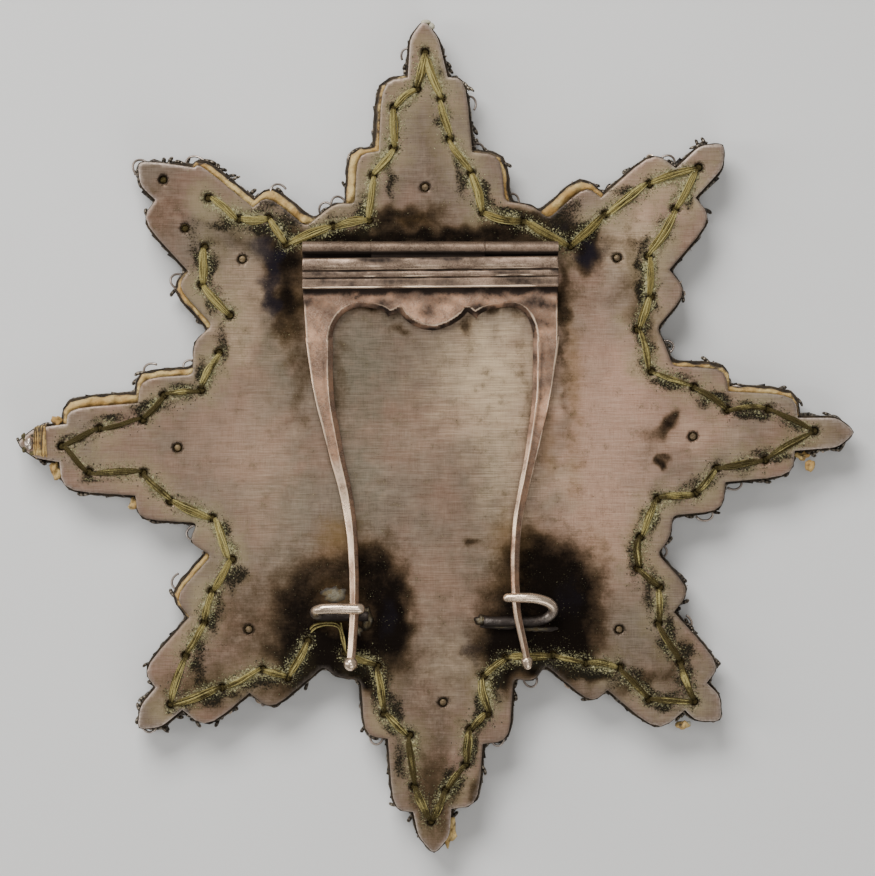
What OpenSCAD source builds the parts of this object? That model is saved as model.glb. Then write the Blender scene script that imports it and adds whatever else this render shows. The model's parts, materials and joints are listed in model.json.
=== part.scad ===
// Breast star, lying on its embroidered front, with the pin side up.
// The origin is the middle of the round centre's face. +Y points at the hinge, +Z away from the cloth side.

/* [Star outline] */
// Reach of a main ray from the middle of the star
star_reach = 45.5; // [43:0.5:50]
// Reach of the middle ray on each side of a main ray
mid_reach = 40; // [37:0.5:42]
// Reach of the short ray beside a valley
low_reach = 33; // [31:0.5:35]
// Reach of the rounded bump in a valley
valley_reach = 28.1; // [27:0.1:30]
// Reach of the notch beside that bump
notch_reach = 27.4; // [26:0.1:29]
// Half width of a main ray at its root
main_half = 1.9; // [1.5:0.1:2.5]
// Half width of a point across its middle rays
mid_half = 5; // [4.5:0.1:5.8]
// Half width of a point across its short rays
low_half = 8.1; // [7.5:0.1:8.8]
// Lean of the step sides towards the ray, in degrees
side_lean = 4; // [0:1:8]

/* [Layers] */
// Height of the round centre above the back of the embroidery
relief_h = 3; // [2.5:0.1:4]
// Thickness of the padding leather
leather_t = 0.9; // [0.8:0.1:1.5]
// Thickness of the silver back plate
plate_t = 0.8; // [0.6:0.05:1.2]
// How far the leather stands out where it shows beside the plate
leather_show = 1.1; // [0.6:0.1:1.5]
// How far the leather stops short of the plate's edge elsewhere
leather_tuck = 0.3; // [0.1:0.1:0.6]
// How far the embroidery stands out past the plate and the leather
coil_show = 0.25; // [0.15:0.05:0.5]

/* [Front] */
// Diameter of the round centre with its corded rim
centre_d = 23; // [18:0.5:26]
// Thickness of the round centre
centre_t = 1.3; // [1:0.1:1.6]
// Diameter of the cord round the centre
cord_d = 1.5; // [1:0.1:2]
// Thickness of the embroidery at the ends of the rays
edge_h = 1; // [0.8:0.1:1.3]
// Height of a ray's ridge above the grooves beside it
ridge_h = 0.5; // [0.3:0.1:0.8]

/* [Holes in the plate] */
// Diameter of a sewing hole
sew_d = 0.95; // [0.7:0.05:1.1]
// Diameter of a tack hole
tack_d = 1; // [0.7:0.05:1.3]
// Reach of the tack holes from the middle of the star
tack_reach = 28.5; // [26:0.5:30]

/* [Hinge] */
// Length of the hinge barrel
hinge_len = 28.1; // [26:0.1:30]
// Distance of the hinge axis from the middle of the star
hinge_y = 21.2; // [20:0.1:22]
// Diameter of the barrel
barrel_d = 1.44; // [1.3:0.02:1.8]
// Length of the left fixed knuckle
knuckle_left = 7.5; // [6:0.1:9]
// Length of the right fixed knuckle
knuckle_right = 8; // [6:0.1:9]
// Diameter of the hinge pin
hinge_pin_d = 0.6; // [0.4:0.05:0.7]
// Thickness of the leaf under the barrel
leaf_t = 0.3; // [0.2:0.05:0.4]

/* [Fork] */
// Distance from the hinge axis to the ball ends
fork_len = 45.6; // [44:0.1:47]
// Width of an arm at its root
arm_w = 2.4; // [2:0.1:2.8]
// Thickness of the fork's sheet
sheet_t = 0.7; // [0.5:0.05:0.9]
// Width of the shaped sheet at its middle lobe
web_w = 4.3; // [4:0.1:5]
// Width of the moulded bar
bar_w = 3.3; // [3:0.1:3.6]
// Height of the moulded bar above the sheet
bar_rise = 0.8; // [0.5:0.1:1]
// Height of a prong where it passes its hook
prong_h = 0.92; // [0.8:0.02:1]
// Diameter of the ball ends
ball_d = 1.4; // [1.2:0.05:1.6]

/* [Catch hooks] */
// Diameter of the hook wire
wire_d = 1.04; // [0.9:0.02:1.1]
// Lean of the left hook towards the hinge, in degrees
left_lean = 22; // [15:1:25]
// Lean of the right hook towards the hinge, in degrees
right_lean = 51; // [45:1:52]
// Length of the upper limb of a hook
limb_len = 3.5; // [3.2:0.1:4]
// Length of the left hook's foot
left_foot = 4.7; // [4.4:0.1:5]
// Length of the right hook's foot
right_foot = 6; // [5.6:0.1:6.4]

/* [Hidden] */
$fn = 48;

// Clearances
layer_gap = 0.05;
pin_gap = 0.05;
knuckle_gap = 0.08;
leaf_gap = 0.1;
prong_gap = 0.05;
hook_play = 0.12;
disc_gap = 0.3;

// Heights of the layers, from the face of the round centre upwards
leather_z = relief_h + layer_gap;
plate_z = leather_z + leather_t + layer_gap;
plate_top = plate_z + plate_t;
fitting_z = plate_top + layer_gap;
hinge_z = fitting_z + leaf_t + knuckle_gap + barrel_d / 2;
foot_z = fitting_z + wire_d / 2;

// Eight points, clockwise from the one above the hinge, seen from the pin side.
// lean: degrees that the point turns clockwise. tip: share of star_reach. blunt: width of the tip as a share of
// main_half. valley: share of valley_reach of the bump after the point. tack_turn, tack: degrees and share of
// tack_reach of the point's tack hole.
LEAN = 0;
TIP = 1;
BLUNT = 2;
VALLEY = 3;
TACK_TURN = 4;
TACK = 5;
POINTS = [
    [-1.4, 1.02, 0.80, 1.00, -2.0, 0.98],
    [-0.7, 1.005, 0.92, 0.98, 0.0, 1.00],
    [-1.2, 1.02, 0.85, 1.00, -1.0, 1.00],
    [-0.7, 0.97, 1.00, 1.02, 0.5, 1.02],
    [0.0, 1.00, 0.90, 1.00, -2.0, 1.01],
    [0.8, 1.00, 0.85, 1.04, -0.5, 1.02],
    [-0.3, 1.01, 0.85, 1.02, -1.5, 0.99],
    [-1.7, 0.985, 0.90, 1.01, -1.5, 1.02]
];

// The two sides of each point, left then right, in the same order as the points.
// root: half width at the root of the main ray, as a share of main_half. mid, low: shares of mid_reach and
// low_reach. mid_w, low_w: shares of mid_half and low_half. mid_out, low_out: how much leather shows beside the
// middle and the short ray, as a share of leather_show.
ROOT = 0;
MID = 1;
MID_W = 2;
LOW = 3;
LOW_W = 4;
MID_OUT = 5;
LOW_OUT = 6;
SIDES = [
    [1.0, 1.00, 0.95, 0.99, 0.95, 0.4, 0.8], [1.3, 1.00, 0.88, 0.98, 1.00, 0.0, 0.4],
    [1.0, 1.00, 1.00, 0.99, 0.95, 0.0, 1.0], [1.0, 0.98, 0.97, 0.98, 1.05, 0.0, 0.0],
    [0.9, 1.00, 0.85, 1.00, 0.90, 0.5, 0.4], [1.0, 0.99, 0.93, 0.99, 1.03, 0.0, 0.0],
    [1.0, 1.00, 0.88, 0.99, 0.98, 0.0, 0.0], [1.0, 1.01, 1.15, 1.02, 1.06, 0.0, 0.0],
    [1.0, 1.01, 0.97, 1.03, 1.02, 0.0, 0.0], [1.2, 1.02, 0.90, 1.01, 0.94, 0.0, 0.0],
    [1.0, 1.01, 1.05, 1.05, 1.08, 0.0, 0.0], [1.0, 1.02, 0.86, 1.01, 0.94, 0.0, 0.5],
    [1.1, 1.03, 1.05, 1.02, 1.04, 0.0, 0.0], [1.1, 1.01, 0.76, 1.00, 0.87, 0.9, 0.6],
    [0.9, 1.01, 0.88, 1.00, 0.87, 0.0, 0.5], [2.0, 1.00, 0.90, 0.99, 0.88, 0.6, 0.9]
];

// Sewing holes of each point, one list for each ray: main, middle, short and valley.
// Each hole is [aside, along]: shares of that ray's half width and of its reach, along the point's own axis.
SEWING = [
    [[[0.03, 0.94]], [[-0.7, 0.92], [-0.18, 0.97], [0.34, 0.94], [0.51, 0.83]],
     [[-0.74, 0.89], [-0.45, 0.98], [0.59, 0.89]],
     [[-1.3, 0.85], [-0.81, 0.87], [0.74, 0.89], [1.28, 0.85], [1.92, 0.75]]],
    [[[-0.1, 0.92]], [[-0.56, 0.92], [0.23, 0.92]], [[-0.49, 0.94], [0.33, 0.94], [0.74, 0.85]],
     [[0.92, 0.87], [1.45, 0.79]]],
    [[[-0.12, 0.92]], [[-0.55, 0.92], [0.57, 0.91]],
     [[-0.66, 0.87], [-0.34, 0.98], [0.45, 0.94], [0.78, 0.87]], [[0.85, 0.87], [1.36, 0.8]]],
    [[[0.26, 0.89]], [[-0.3, 0.91], [0.77, 0.92]],
     [[-0.72, 0.88], [-0.36, 0.96], [0.44, 0.97], [0.72, 0.88]], [[-0.7, 0.92], [0.95, 0.92]]],
    [[[0.17, 0.92]], [[-0.7, 0.89], [-0.26, 0.96], [0.44, 0.95]],
     [[-0.73, 0.91], [-0.49, 0.96], [0.33, 0.98], [0.68, 0.91]],
     [[-0.98, 0.85], [-0.68, 0.92], [0.77, 0.88], [1.2, 0.83]]],
    [[[-0.3, 0.9]], [[-0.64, 0.89], [0.43, 0.9]],
     [[-0.92, 0.9], [-0.6, 0.94], [0.41, 0.97], [0.64, 0.88]], [[-0.75, 0.9], [0.76, 0.89]]],
    [[[-0.18, 0.9]], [[-0.64, 0.95], [0.32, 0.92]],
     [[-0.8, 0.88], [-0.41, 0.97], [0.31, 0.97], [0.64, 0.9]], [[-1.03, 0.87], [0.71, 0.91], [1.22, 0.84]]],
    [[[0.26, 0.91]], [[-0.35, 0.9], [0.49, 0.91]],
     [[-0.62, 0.92], [-0.22, 1.0], [0.38, 0.98], [0.66, 0.91]], [[-0.66, 0.92], [0.57, 0.95]]]
];
RAY_REACH = [star_reach, mid_reach, low_reach, valley_reach];
RAY_HALF = [main_half, mid_half, low_half, low_half];

// The arms and prongs of the fork, from the sheet to the ball.
// run: share of fork_len from the hinge axis. aside: share of fork_half. width: share of arm_w.
LEFT_PRONG = [
    [0.212, 0.984, 1.28], [0.295, 0.962, 1.06], [0.368, 0.931, 0.88], [0.441, 0.874, 0.76],
    [0.514, 0.815, 0.66], [0.586, 0.75, 0.59], [0.659, 0.706, 0.53], [0.732, 0.683, 0.47],
    [0.805, 0.673, 0.42], [0.878, 0.674, 0.38], [0.951, 0.689, 0.34], [0.995, 0.705, 0.32]
];
RIGHT_PRONG = [
    [0.212, 1.008, 1.23], [0.295, 0.986, 1.02], [0.368, 0.96, 0.82], [0.441, 0.912, 0.68],
    [0.514, 0.861, 0.56], [0.586, 0.803, 0.49], [0.659, 0.754, 0.44], [0.732, 0.734, 0.42],
    [0.805, 0.734, 0.41], [0.878, 0.752, 0.35], [0.951, 0.807, 0.3], [0.995, 0.84, 0.28]
];
RUN = 0;
ASIDE = 1;
WIDTH = 2;

// Shape of the outline
step_slope = 0.12;
step_round = 2;
mid_round = 2.8;
tip_round = 0.8;
tip_taper = 2;
notch_round = 0.6;
bump_round = 1.4;

function bearing(k) = 45 * k + POINTS[k][LEAN];

// A place given along and aside a point's axis, as x and y
function place(k, along, aside) = let (b = bearing(k))
    [along * sin(b) + aside * cos(b), along * cos(b) - aside * sin(b)];

function mix(a, b, s) = a + (b - a) * s;

// Outward growth of a step past the plate: by the leather that shows there, or by base where none does
function grown(out, spread, base) = max(spread * out * leather_show + max(base, 0), base);

// Corners of one side of a point from the notch to the main ray, as [along, aside, ridge, round].
// ridge is how far the front's relief rises towards that corner, and round the length that is rounded off.
function side_corners(row, k, spread, base) = let (
    mid_grow = grown(row[MID_OUT], spread, base),
    low_grow = grown(row[LOW_OUT], spread, base),
    mid_v = mid_half * row[MID_W],
    low_v = low_half * row[LOW_W],
    mid_u = sqrt(pow(mid_reach * row[MID], 2) - mid_v * mid_v),
    low_u = sqrt(pow(low_reach * row[LOW], 2) - low_v * low_v),
    notch_u = sqrt(notch_reach * notch_reach - low_v * low_v),
    mid_root_v = mid_v + (mid_u - low_u) * tan(side_lean),
    root_v = main_half * row[ROOT],
    tip_u = star_reach * POINTS[k][TIP]
) [
    [notch_u, low_v + (low_u - notch_u) * tan(side_lean) + low_grow, 0, notch_round],
    [low_u + low_grow / 2, low_v + low_grow, 1, step_round],
    [low_u + (low_v - mid_root_v) * step_slope + low_grow / 2, mid_root_v + mid_grow, 0, 0],
    [mid_u + mid_grow / 2, mid_v + mid_grow, 1, mid_round],
    [mid_u + (mid_v - root_v) * step_slope + mid_grow / 2, root_v + base, 0, 0],
    [tip_u - tip_taper, main_half * POINTS[k][BLUNT] + base, 0.7, tip_round]
];

function on_side(k, c, way) = let (p = place(k, c[0], way * c[1])) [p[0], p[1], c[2], c[3]];

// All corners of the star, clockwise. The plate has spread 0 and base 0. A layer with spread 1 follows the
// leather that shows, and base is how far it stands out elsewhere.
function star_corners(spread, base) = [
    for (k = [0:7]) let (
        left = side_corners(SIDES[2 * k], k, spread, base),
        right = side_corners(SIDES[2 * k + 1], k, spread, base),
        tip = place(k, star_reach * POINTS[k][TIP] + base, 0),
        bump = valley_reach * POINTS[k][VALLEY] + base,
        middle = 45 * k + 22.5
    ) each concat(
        [for (i = [0:5]) on_side(k, left[i], -1)],
        [[tip[0], tip[1], 1, tip_round]],
        [for (i = [5:-1:0]) on_side(k, right[i], 1)],
        [[bump * sin(middle), bump * cos(middle), 0.8, bump_round]]
    )
];

// Each corner becomes a short parabola between the two edges that meet there
function toward(p, q, len) = let (d = norm([q[0] - p[0], q[1] - p[1]]))
    mix([p[0], p[1], p[2]], [q[0], q[1], q[2]], min(len / d, 0.45));
function softened(c, steps) = [
    for (i = [0:len(c) - 1]) let (
        p = c[i],
        a = toward(p, c[(i + len(c) - 1) % len(c)], p[3]),
        b = toward(p, c[(i + 1) % len(c)], p[3]),
        middle = [p[0], p[1], p[2]]
    ) each p[3] == 0 ? [middle] : [for (j = [0:steps]) mix(mix(a, middle, j / steps), mix(middle, b, j / steps), j / steps)]
];
function flat(c) = [for (p = c) [p[0], p[1]]];

plate_corners = star_corners(0, 0);
leather_corners = star_corners(1, -leather_tuck);
front_corners = star_corners(1, coil_show);

module sewing_holes() {
    for (k = [0:7])
        for (ray = [0:3])
            for (hole = SEWING[k][ray])
                translate(place(k, hole[1] * RAY_REACH[ray], hole[0] * RAY_HALF[ray]))
                    circle(d = sew_d, $fn = 24);
}

module tack_holes() {
    for (k = [0:7]) {
        turn = 45 * k + POINTS[k][TACK_TURN];
        reach = tack_reach * POINTS[k][TACK];
        translate([reach * sin(turn), reach * cos(turn)])
            circle(d = tack_d, $fn = 24);
    }
}

module back_plate() {
    color("rosybrown")
        translate([0, 0, plate_z])
            linear_extrude(plate_t)
                difference() {
                    polygon(flat(softened(plate_corners, 3)));
                    sewing_holes();
                    tack_holes();
                }
}

module leather_padding() {
    color("peru")
        translate([0, 0, leather_z])
            linear_extrude(leather_t)
                polygon(flat(softened(leather_corners, 2)));
}

// The front relief: rings from a flat seat under the round centre out to the edge, ridged along each ray.
// wall_slope is how far the wall round the seat leans out, and wall_h how high it stands.
wall_slope = 0.5;
wall_h = 0.9;
seat_r = centre_d / 2 + disc_gap;
wall_r = seat_r + wall_slope;
seat_z = centre_t + layer_gap;
crest_h = relief_h - seat_z + wall_h;
RING_SHARES = [0.15, 0.4, 0.65, 0.85, 0.96];

function ring_height(share, ridge) =
    mix(crest_h, edge_h, pow(share, 0.8)) - ridge_h * (1 - ridge) * sin(180 * min(share, 0.5));
function front_point(p, share) = let (r = norm([p[0], p[1]]), reach = mix(wall_r, r, share))
    [p[0] / r * reach, p[1] / r * reach, relief_h - ring_height(share, p[2])];

module embroidered_star() {
    edge = softened(front_corners, 2);
    n = len(edge);
    middle = [[0, 0, seat_z], [0, 0, relief_h]];
    seat = [for (p = edge) let (r = norm([p[0], p[1]])) [p[0] / r * seat_r, p[1] / r * seat_r, seat_z]];
    wall = [for (p = edge) let (q = front_point(p, 0)) [q[0], q[1], relief_h - crest_h]];
    rings = [for (share = RING_SHARES) [for (p = edge) front_point(p, share)]];
    rim = [for (p = edge) [p[0], p[1], relief_h - edge_h * 0.6]];
    back = [for (p = edge) [p[0], p[1], relief_h]];
    loops = concat([seat, wall], rings, [rim, back]);
    color("dimgray")
        polyhedron(
            points = concat(middle, [for (loop = loops) each loop]),
            faces = concat(
                [for (i = [0:n - 1]) [0, 2 + (i + 1) % n, 2 + i]],
                [for (j = [0:len(loops) - 2]) for (i = [0:n - 1]) let (a = 2 + j * n + i, b = 2 + j * n + (i + 1) % n)
                    each [[a, b, a + n], [b, b + n, a + n]]],
                [for (i = [0:n - 1]) let (last = 2 + (len(loops) - 1) * n) [1, last + i, last + (i + 1) % n]]
            ),
            convexity = 10
        );
}

// A flat bare field, a shallow groove and a raised cord round it
groove_w = 0.2;
groove_h = 0.7;
field_edge = 0.3;
cord_drop = 0.15;

module centre_disc() {
    rim_r = centre_d / 2;
    cord_r = cord_d / 2;
    field_r = rim_r - cord_d - 2 * groove_w;
    cord = [for (a = [180:-15:0]) [rim_r - cord_r + cord_r * cos(a), cord_drop + cord_r * (1 - sin(a))]];
    color("darkgray")
        rotate_extrude($fn = 96)
            polygon(concat(
                [[0, 0], [field_r - field_edge, 0], [field_r, field_edge], [field_r + groove_w, groove_h]],
                cord,
                [[rim_r, centre_t], [0, centre_t]]
            ));
}

// What follows is drawn about the hinge axis, with the prongs towards -Y
hinge_x = -0.4;
fork_x = 0.1;
left_end = -hinge_len / 2;
right_end = hinge_len / 2;
knuckle_from = left_end + knuckle_left + pin_gap;
knuckle_to = right_end - knuckle_right - pin_gap;
bar_gap = 0.28;
bar_back = barrel_d / 2 + bar_gap;
bar_front = bar_back + bar_w;

module at_hinge() {
    translate([hinge_x, hinge_y, hinge_z])
        children();
}

module along_hinge(from, to, r) {
    translate([from, 0, 0])
        rotate([0, 90, 0])
            cylinder(h = to - from, r = r);
}

module pin_bore() {
    along_hinge(left_end - 1, right_end + 1, hinge_pin_d / 2 + pin_gap);
}

module fixed_knuckle(from, to) {
    foot = barrel_d / 2 + knuckle_gap + leaf_t / 2;
    along_hinge(from, to, barrel_d / 2);
    translate([from, -barrel_d / 4, -foot])
        cube([to - from, barrel_d / 2, foot]);
}

leaf_back = barrel_d * 0.43;
leaf_front = bar_front * 0.8;

module hinge_base() {
    color("rosybrown")
        at_hinge()
            difference() {
                union() {
                    fixed_knuckle(left_end, left_end + knuckle_left);
                    fixed_knuckle(right_end - knuckle_right, right_end);
                    translate([left_end, -leaf_front, -barrel_d / 2 - knuckle_gap - leaf_t])
                        cube([hinge_len, leaf_front + leaf_back, leaf_t]);
                }
                pin_bore();
            }
}

module hinge_pin() {
    color("silver")
        at_hinge()
            along_hinge(left_end, right_end, hinge_pin_d / 2);
}

// Heights in the fork, from the hinge axis. The prongs rise to lie on the feet of their hooks.
sheet_bottom = leaf_gap - barrel_d / 2 - knuckle_gap;
sheet_top = sheet_bottom + sheet_t;
bar_top = sheet_top + bar_rise;
prong_z = foot_z + wire_d / 2 + prong_gap + prong_h / 2 - hinge_z;

function arc(x, y, rx, ry, from, to, steps) =
    [for (i = [0:steps]) let (a = mix(from, to, i / steps)) [x + rx * cos(a), y + ry * sin(a)]];

// The mouldings of the bar, as distances from the hinge axis and heights: a torus, a bead, a flat and a lip
function bar_profile() = let (
    torus_w = bar_w * 0.33,
    bead_w = bar_w * 0.2,
    lip_w = bar_w * 0.1,
    line_w = bar_w * 0.04,
    groove = bar_top - bar_rise * 0.45,
    level = groove + bar_rise * 0.2,
    bead_at = bar_back + torus_w + line_w,
    flat_at = bead_at + bead_w + line_w
) concat(
    [[bar_back, sheet_bottom]],
    arc(bar_back + torus_w / 2, groove, torus_w / 2, bar_top - groove, 180, 0, 8),
    arc(bead_at + bead_w / 2, groove, bead_w / 2, bar_rise * 0.28, 180, 0, 6),
    [[flat_at, groove], [flat_at + line_w / 2, level], [bar_front - lip_w - line_w, level]],
    arc(bar_front - lip_w / 2, level, lip_w / 2, bar_rise * 0.15, 180, 0, 6),
    [[bar_front, sheet_bottom]]
);

// The arms lie flush with the ends of the bar
fork_half = hinge_len / 2 - arm_w * 0.625;

// One side of the cut inside the fork, from its middle out: a lobe, a cusp and an arch into the arm
cut_lobe = fork_half * 0.287;
cut_cusp = fork_half * 0.375;
lobe_depth = web_w * 0.41;
lobe_run = bar_front + web_w - lobe_depth;
cusp_run = bar_front + web_w * 0.71;
arch_run = bar_front + web_w * 0.475;
arm_run = fork_len * 0.222;
blend_run = fork_len * 0.236;

function inner_cut(arm_side, peak_share) = let (peak = mix(cut_cusp, arm_side, peak_share)) concat(
    arc(0, lobe_run, cut_lobe, lobe_depth, 90, 0, 7),
    [[mix(cut_lobe, cut_cusp, 0.55), cusp_run - 0.05]],
    arc(peak, cusp_run, peak - cut_cusp, cusp_run - arch_run, 180, 270, 6),
    arc(peak, arm_run, arm_side - peak, arm_run - arch_run, 270, 360, 8),
    [[arm_side, blend_run]]
);

// Half width of the sheet's arms, a little under the prongs that carry on from them
function arm_half(rows) = arm_w / 2 * rows[0][WIDTH] - 0.05;

module fork_sheet() {
    left_arm = fork_half * LEFT_PRONG[0][ASIDE];
    right_arm = fork_half * RIGHT_PRONG[0][ASIDE];
    left_w = arm_half(LEFT_PRONG);
    right_w = arm_half(RIGHT_PRONG);
    left_cut = inner_cut(left_arm - left_w, 0.5);
    right_cut = inner_cut(right_arm - right_w, 0.62);
    shoulder = bar_front + 0.5;
    translate([fork_x, 0, sheet_bottom])
        linear_extrude(sheet_t)
            polygon(concat(
                [for (p = right_cut) [p[0], -p[1]]],
                [[right_arm + right_w, -blend_run], [right_end - fork_x, -shoulder], [right_end - fork_x, -bar_back]],
                [[left_end - fork_x, -bar_back], [left_end - fork_x, -shoulder], [-left_arm - left_w, -blend_run]],
                [for (i = [len(left_cut) - 1:-1:1]) [-left_cut[i][0], -left_cut[i][1]]]
            ));
}

// A smooth curve through the rows of a table
function curve(a, b, c, d, s) =
    b + (c - a) * (s / 2) + (2 * a - 5 * b + 4 * c - d) * (s * s / 2) + (3 * b - a - 3 * c + d) * (s * s * s / 2);
function smooth_rows(rows, steps) = let (last = len(rows) - 1) concat(
    [for (i = [0:last - 1]) for (j = [0:steps - 1])
        curve(rows[max(i - 1, 0)], rows[i], rows[i + 1], rows[min(i + 2, last)], j / steps)],
    [rows[last]]
);

// Section of a prong: a flat bar with soft edges at the root that turns into round wire
function prong_ring(row, side) = let (
    s = (row[RUN] - LEFT_PRONG[0][RUN]) / (1 - LEFT_PRONG[0][RUN]),
    power = mix(0.3, 1, min(1, s * 1.6)),
    h = mix(sheet_t - 0.04, prong_h, min(1, s * 1.4)) * (s > 0.75 ? mix(1, 0.8, (s - 0.75) * 4) : 1),
    z = mix(sheet_bottom + sheet_t / 2, prong_z, pow(sin(90 * min(1, s * 1.2)), 1.5)),
    w = arm_w * row[WIDTH]
) [for (i = [0:15]) let (c = cos(22.5 * i + 11.25), d = sin(22.5 * i + 11.25))
    [side * fork_half * row[ASIDE] + w / 2 * sign(c) * pow(abs(c), power),
     -fork_len * row[RUN],
     z + h / 2 * sign(d) * pow(abs(d), power)]];

// A closed skin over rings of points, each ring the next one along a sweep
module sweep(rings) {
    n = len(rings[0]);
    last = (len(rings) - 1) * n;
    polyhedron(
        points = [for (ring = rings) each ring],
        faces = concat(
            [[for (i = [0:n - 1]) i], [for (i = [n - 1:-1:0]) last + i]],
            [for (j = [0:len(rings) - 2]) for (i = [0:n - 1]) let (a = j * n + i, b = j * n + (i + 1) % n)
                each [[a, a + n, b], [b, a + n, b + n]]]
        ),
        convexity = 4
    );
}

module prong(rows, side) {
    sweep([for (row = smooth_rows(rows, 3)) prong_ring(row, side)]);
    translate([side * fork_half * rows[len(rows) - 1][ASIDE], -fork_len, prong_z])
        sphere(d = ball_d, $fn = 32);
}

// The middle knuckle and the web that joins it to the bar
module fork_knuckle() {
    web_bottom = sheet_bottom + leaf_gap;
    difference() {
        union() {
            along_hinge(knuckle_from, knuckle_to, barrel_d / 2);
            translate([knuckle_from, -bar_back - bar_w / 4, web_bottom])
                cube([knuckle_to - knuckle_from, bar_back + bar_w / 4, barrel_d / 4 - web_bottom]);
        }
        pin_bore();
    }
}

module pin_fork() {
    color("silver")
        at_hinge() {
            fork_knuckle();
            translate([left_end, 0, 0])
                rotate([90, 0, 90])
                    linear_extrude(hinge_len)
                        polygon([for (p = bar_profile()) [-p[0], p[1]]]);
            fork_sheet();
            translate([fork_x, 0, 0]) {
                prong(LEFT_PRONG, -1);
                prong(RIGHT_PRONG, 1);
            }
        }
}

// A hook lies along X: its foot on the plate, its bend on the outer side, and its upper limb back over the prong.
// Its path is a list of [x, height, direction in degrees, share of the wire's thickness].
function hook_path(foot_len, gap) = concat(
    [[foot_len, 0, 180, 1], [foot_len / 2, 0, 180, 1]],
    [for (a = [270:-15:90]) [gap / 2 * cos(a), gap / 2 + gap / 2 * sin(a), a - 90, 1]],
    [[limb_len / 2, gap, 0, 1]],
    [for (a = [0, 30, 55, 75]) [limb_len + wire_d / 2 * sin(a), gap, 0, cos(a)]]
);

// The limbs stand far enough apart for the prong, however far the hook leans
module catch_hook(foot_len, lean) {
    gap = (wire_d + prong_gap + prong_h + hook_play) / cos(lean);
    rotate([-lean, 0, 0])
        sweep([for (p = hook_path(foot_len, gap)) [for (i = [0:11]) let (r = p[3] * wire_d / 2, a = 30 * i)
            [p[0] - r * cos(a) * sin(p[2]), -r * sin(a), p[1] + r * cos(a) * cos(p[2])]]]);
    translate([foot_len, 0, -wire_d / 2])
        cylinder(r = wire_d * 0.8, h = wire_d * 0.75, $fn = 32);
}

// run: where the foot lies along the fork, as a share of fork_len. inset: how far the prong passes inside the
// bend, as a share of limb_len.
function hook_at(rows, side, run, inset) = let (aside = lookup(run, [for (row = rows) [row[RUN], row[ASIDE]]]))
    [hinge_x + fork_x + side * (fork_half * aside + inset * limb_len), hinge_y - run * fork_len, foot_z];

module catch_hook_left() {
    color("gainsboro")
        translate(hook_at(LEFT_PRONG, -1, 0.887, 0.89))
            catch_hook(left_foot, left_lean);
}

module catch_hook_right() {
    color("gainsboro")
        translate(hook_at(RIGHT_PRONG, 1, 0.9, 0.61))
            mirror([1, 0, 0])
                catch_hook(right_foot, right_lean);
}

back_plate();
leather_padding();
embroidered_star();
centre_disc();
hinge_base();
hinge_pin();
pin_fork();
catch_hook_left();
catch_hook_right();
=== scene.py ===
import json
import bpy
import numpy as np
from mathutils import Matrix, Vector
from mathutils.geometry import delaunay_2d_cdt


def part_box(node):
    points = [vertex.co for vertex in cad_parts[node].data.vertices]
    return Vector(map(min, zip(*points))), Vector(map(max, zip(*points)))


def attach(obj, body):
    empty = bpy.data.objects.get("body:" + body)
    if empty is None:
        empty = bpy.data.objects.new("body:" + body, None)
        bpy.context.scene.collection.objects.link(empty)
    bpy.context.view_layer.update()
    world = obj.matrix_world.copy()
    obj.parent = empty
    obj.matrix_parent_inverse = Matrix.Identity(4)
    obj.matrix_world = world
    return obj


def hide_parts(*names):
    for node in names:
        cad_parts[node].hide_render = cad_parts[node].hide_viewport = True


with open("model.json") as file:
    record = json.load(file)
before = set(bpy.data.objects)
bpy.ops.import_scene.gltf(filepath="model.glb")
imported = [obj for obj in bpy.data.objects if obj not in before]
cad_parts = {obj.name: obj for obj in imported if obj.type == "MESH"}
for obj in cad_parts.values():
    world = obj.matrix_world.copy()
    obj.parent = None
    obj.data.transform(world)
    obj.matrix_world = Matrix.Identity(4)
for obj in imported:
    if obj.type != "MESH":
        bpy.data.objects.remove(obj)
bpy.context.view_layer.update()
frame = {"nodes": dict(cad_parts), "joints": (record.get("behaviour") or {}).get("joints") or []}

# Lengths in this script are in millimetres and turn into metres where a mesh is made.
metre = 0.001
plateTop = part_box("back_plate")[1].z / metre
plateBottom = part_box("back_plate")[0].z / metre
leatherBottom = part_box("leather_padding")[0].z / metre
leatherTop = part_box("leather_padding")[1].z / metre
hingeX, hingeY, hingeZ = (value / metre for value in frame["joints"][0]["pos_m"])


# Shapes shared by the pieces.

def unit(value):
    # Kept from 0 to 1
    return np.clip(value, 0, 1)


def bell(value, centre, width):
    # 1 at the centre and 1/e one width from it: exp(-((value - centre) / width) squared)
    return np.exp(-((value - centre) / width) ** 2)


def joinFaces(*groups):
    # The rows of all the groups in one list
    return [row for group in groups for row in np.asarray(group).tolist()]


def addObject(name, data):
    # An object at the origin, linked to the scene
    thing = bpy.data.objects.new(name, data)
    bpy.context.scene.collection.objects.link(thing)
    return thing


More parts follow.
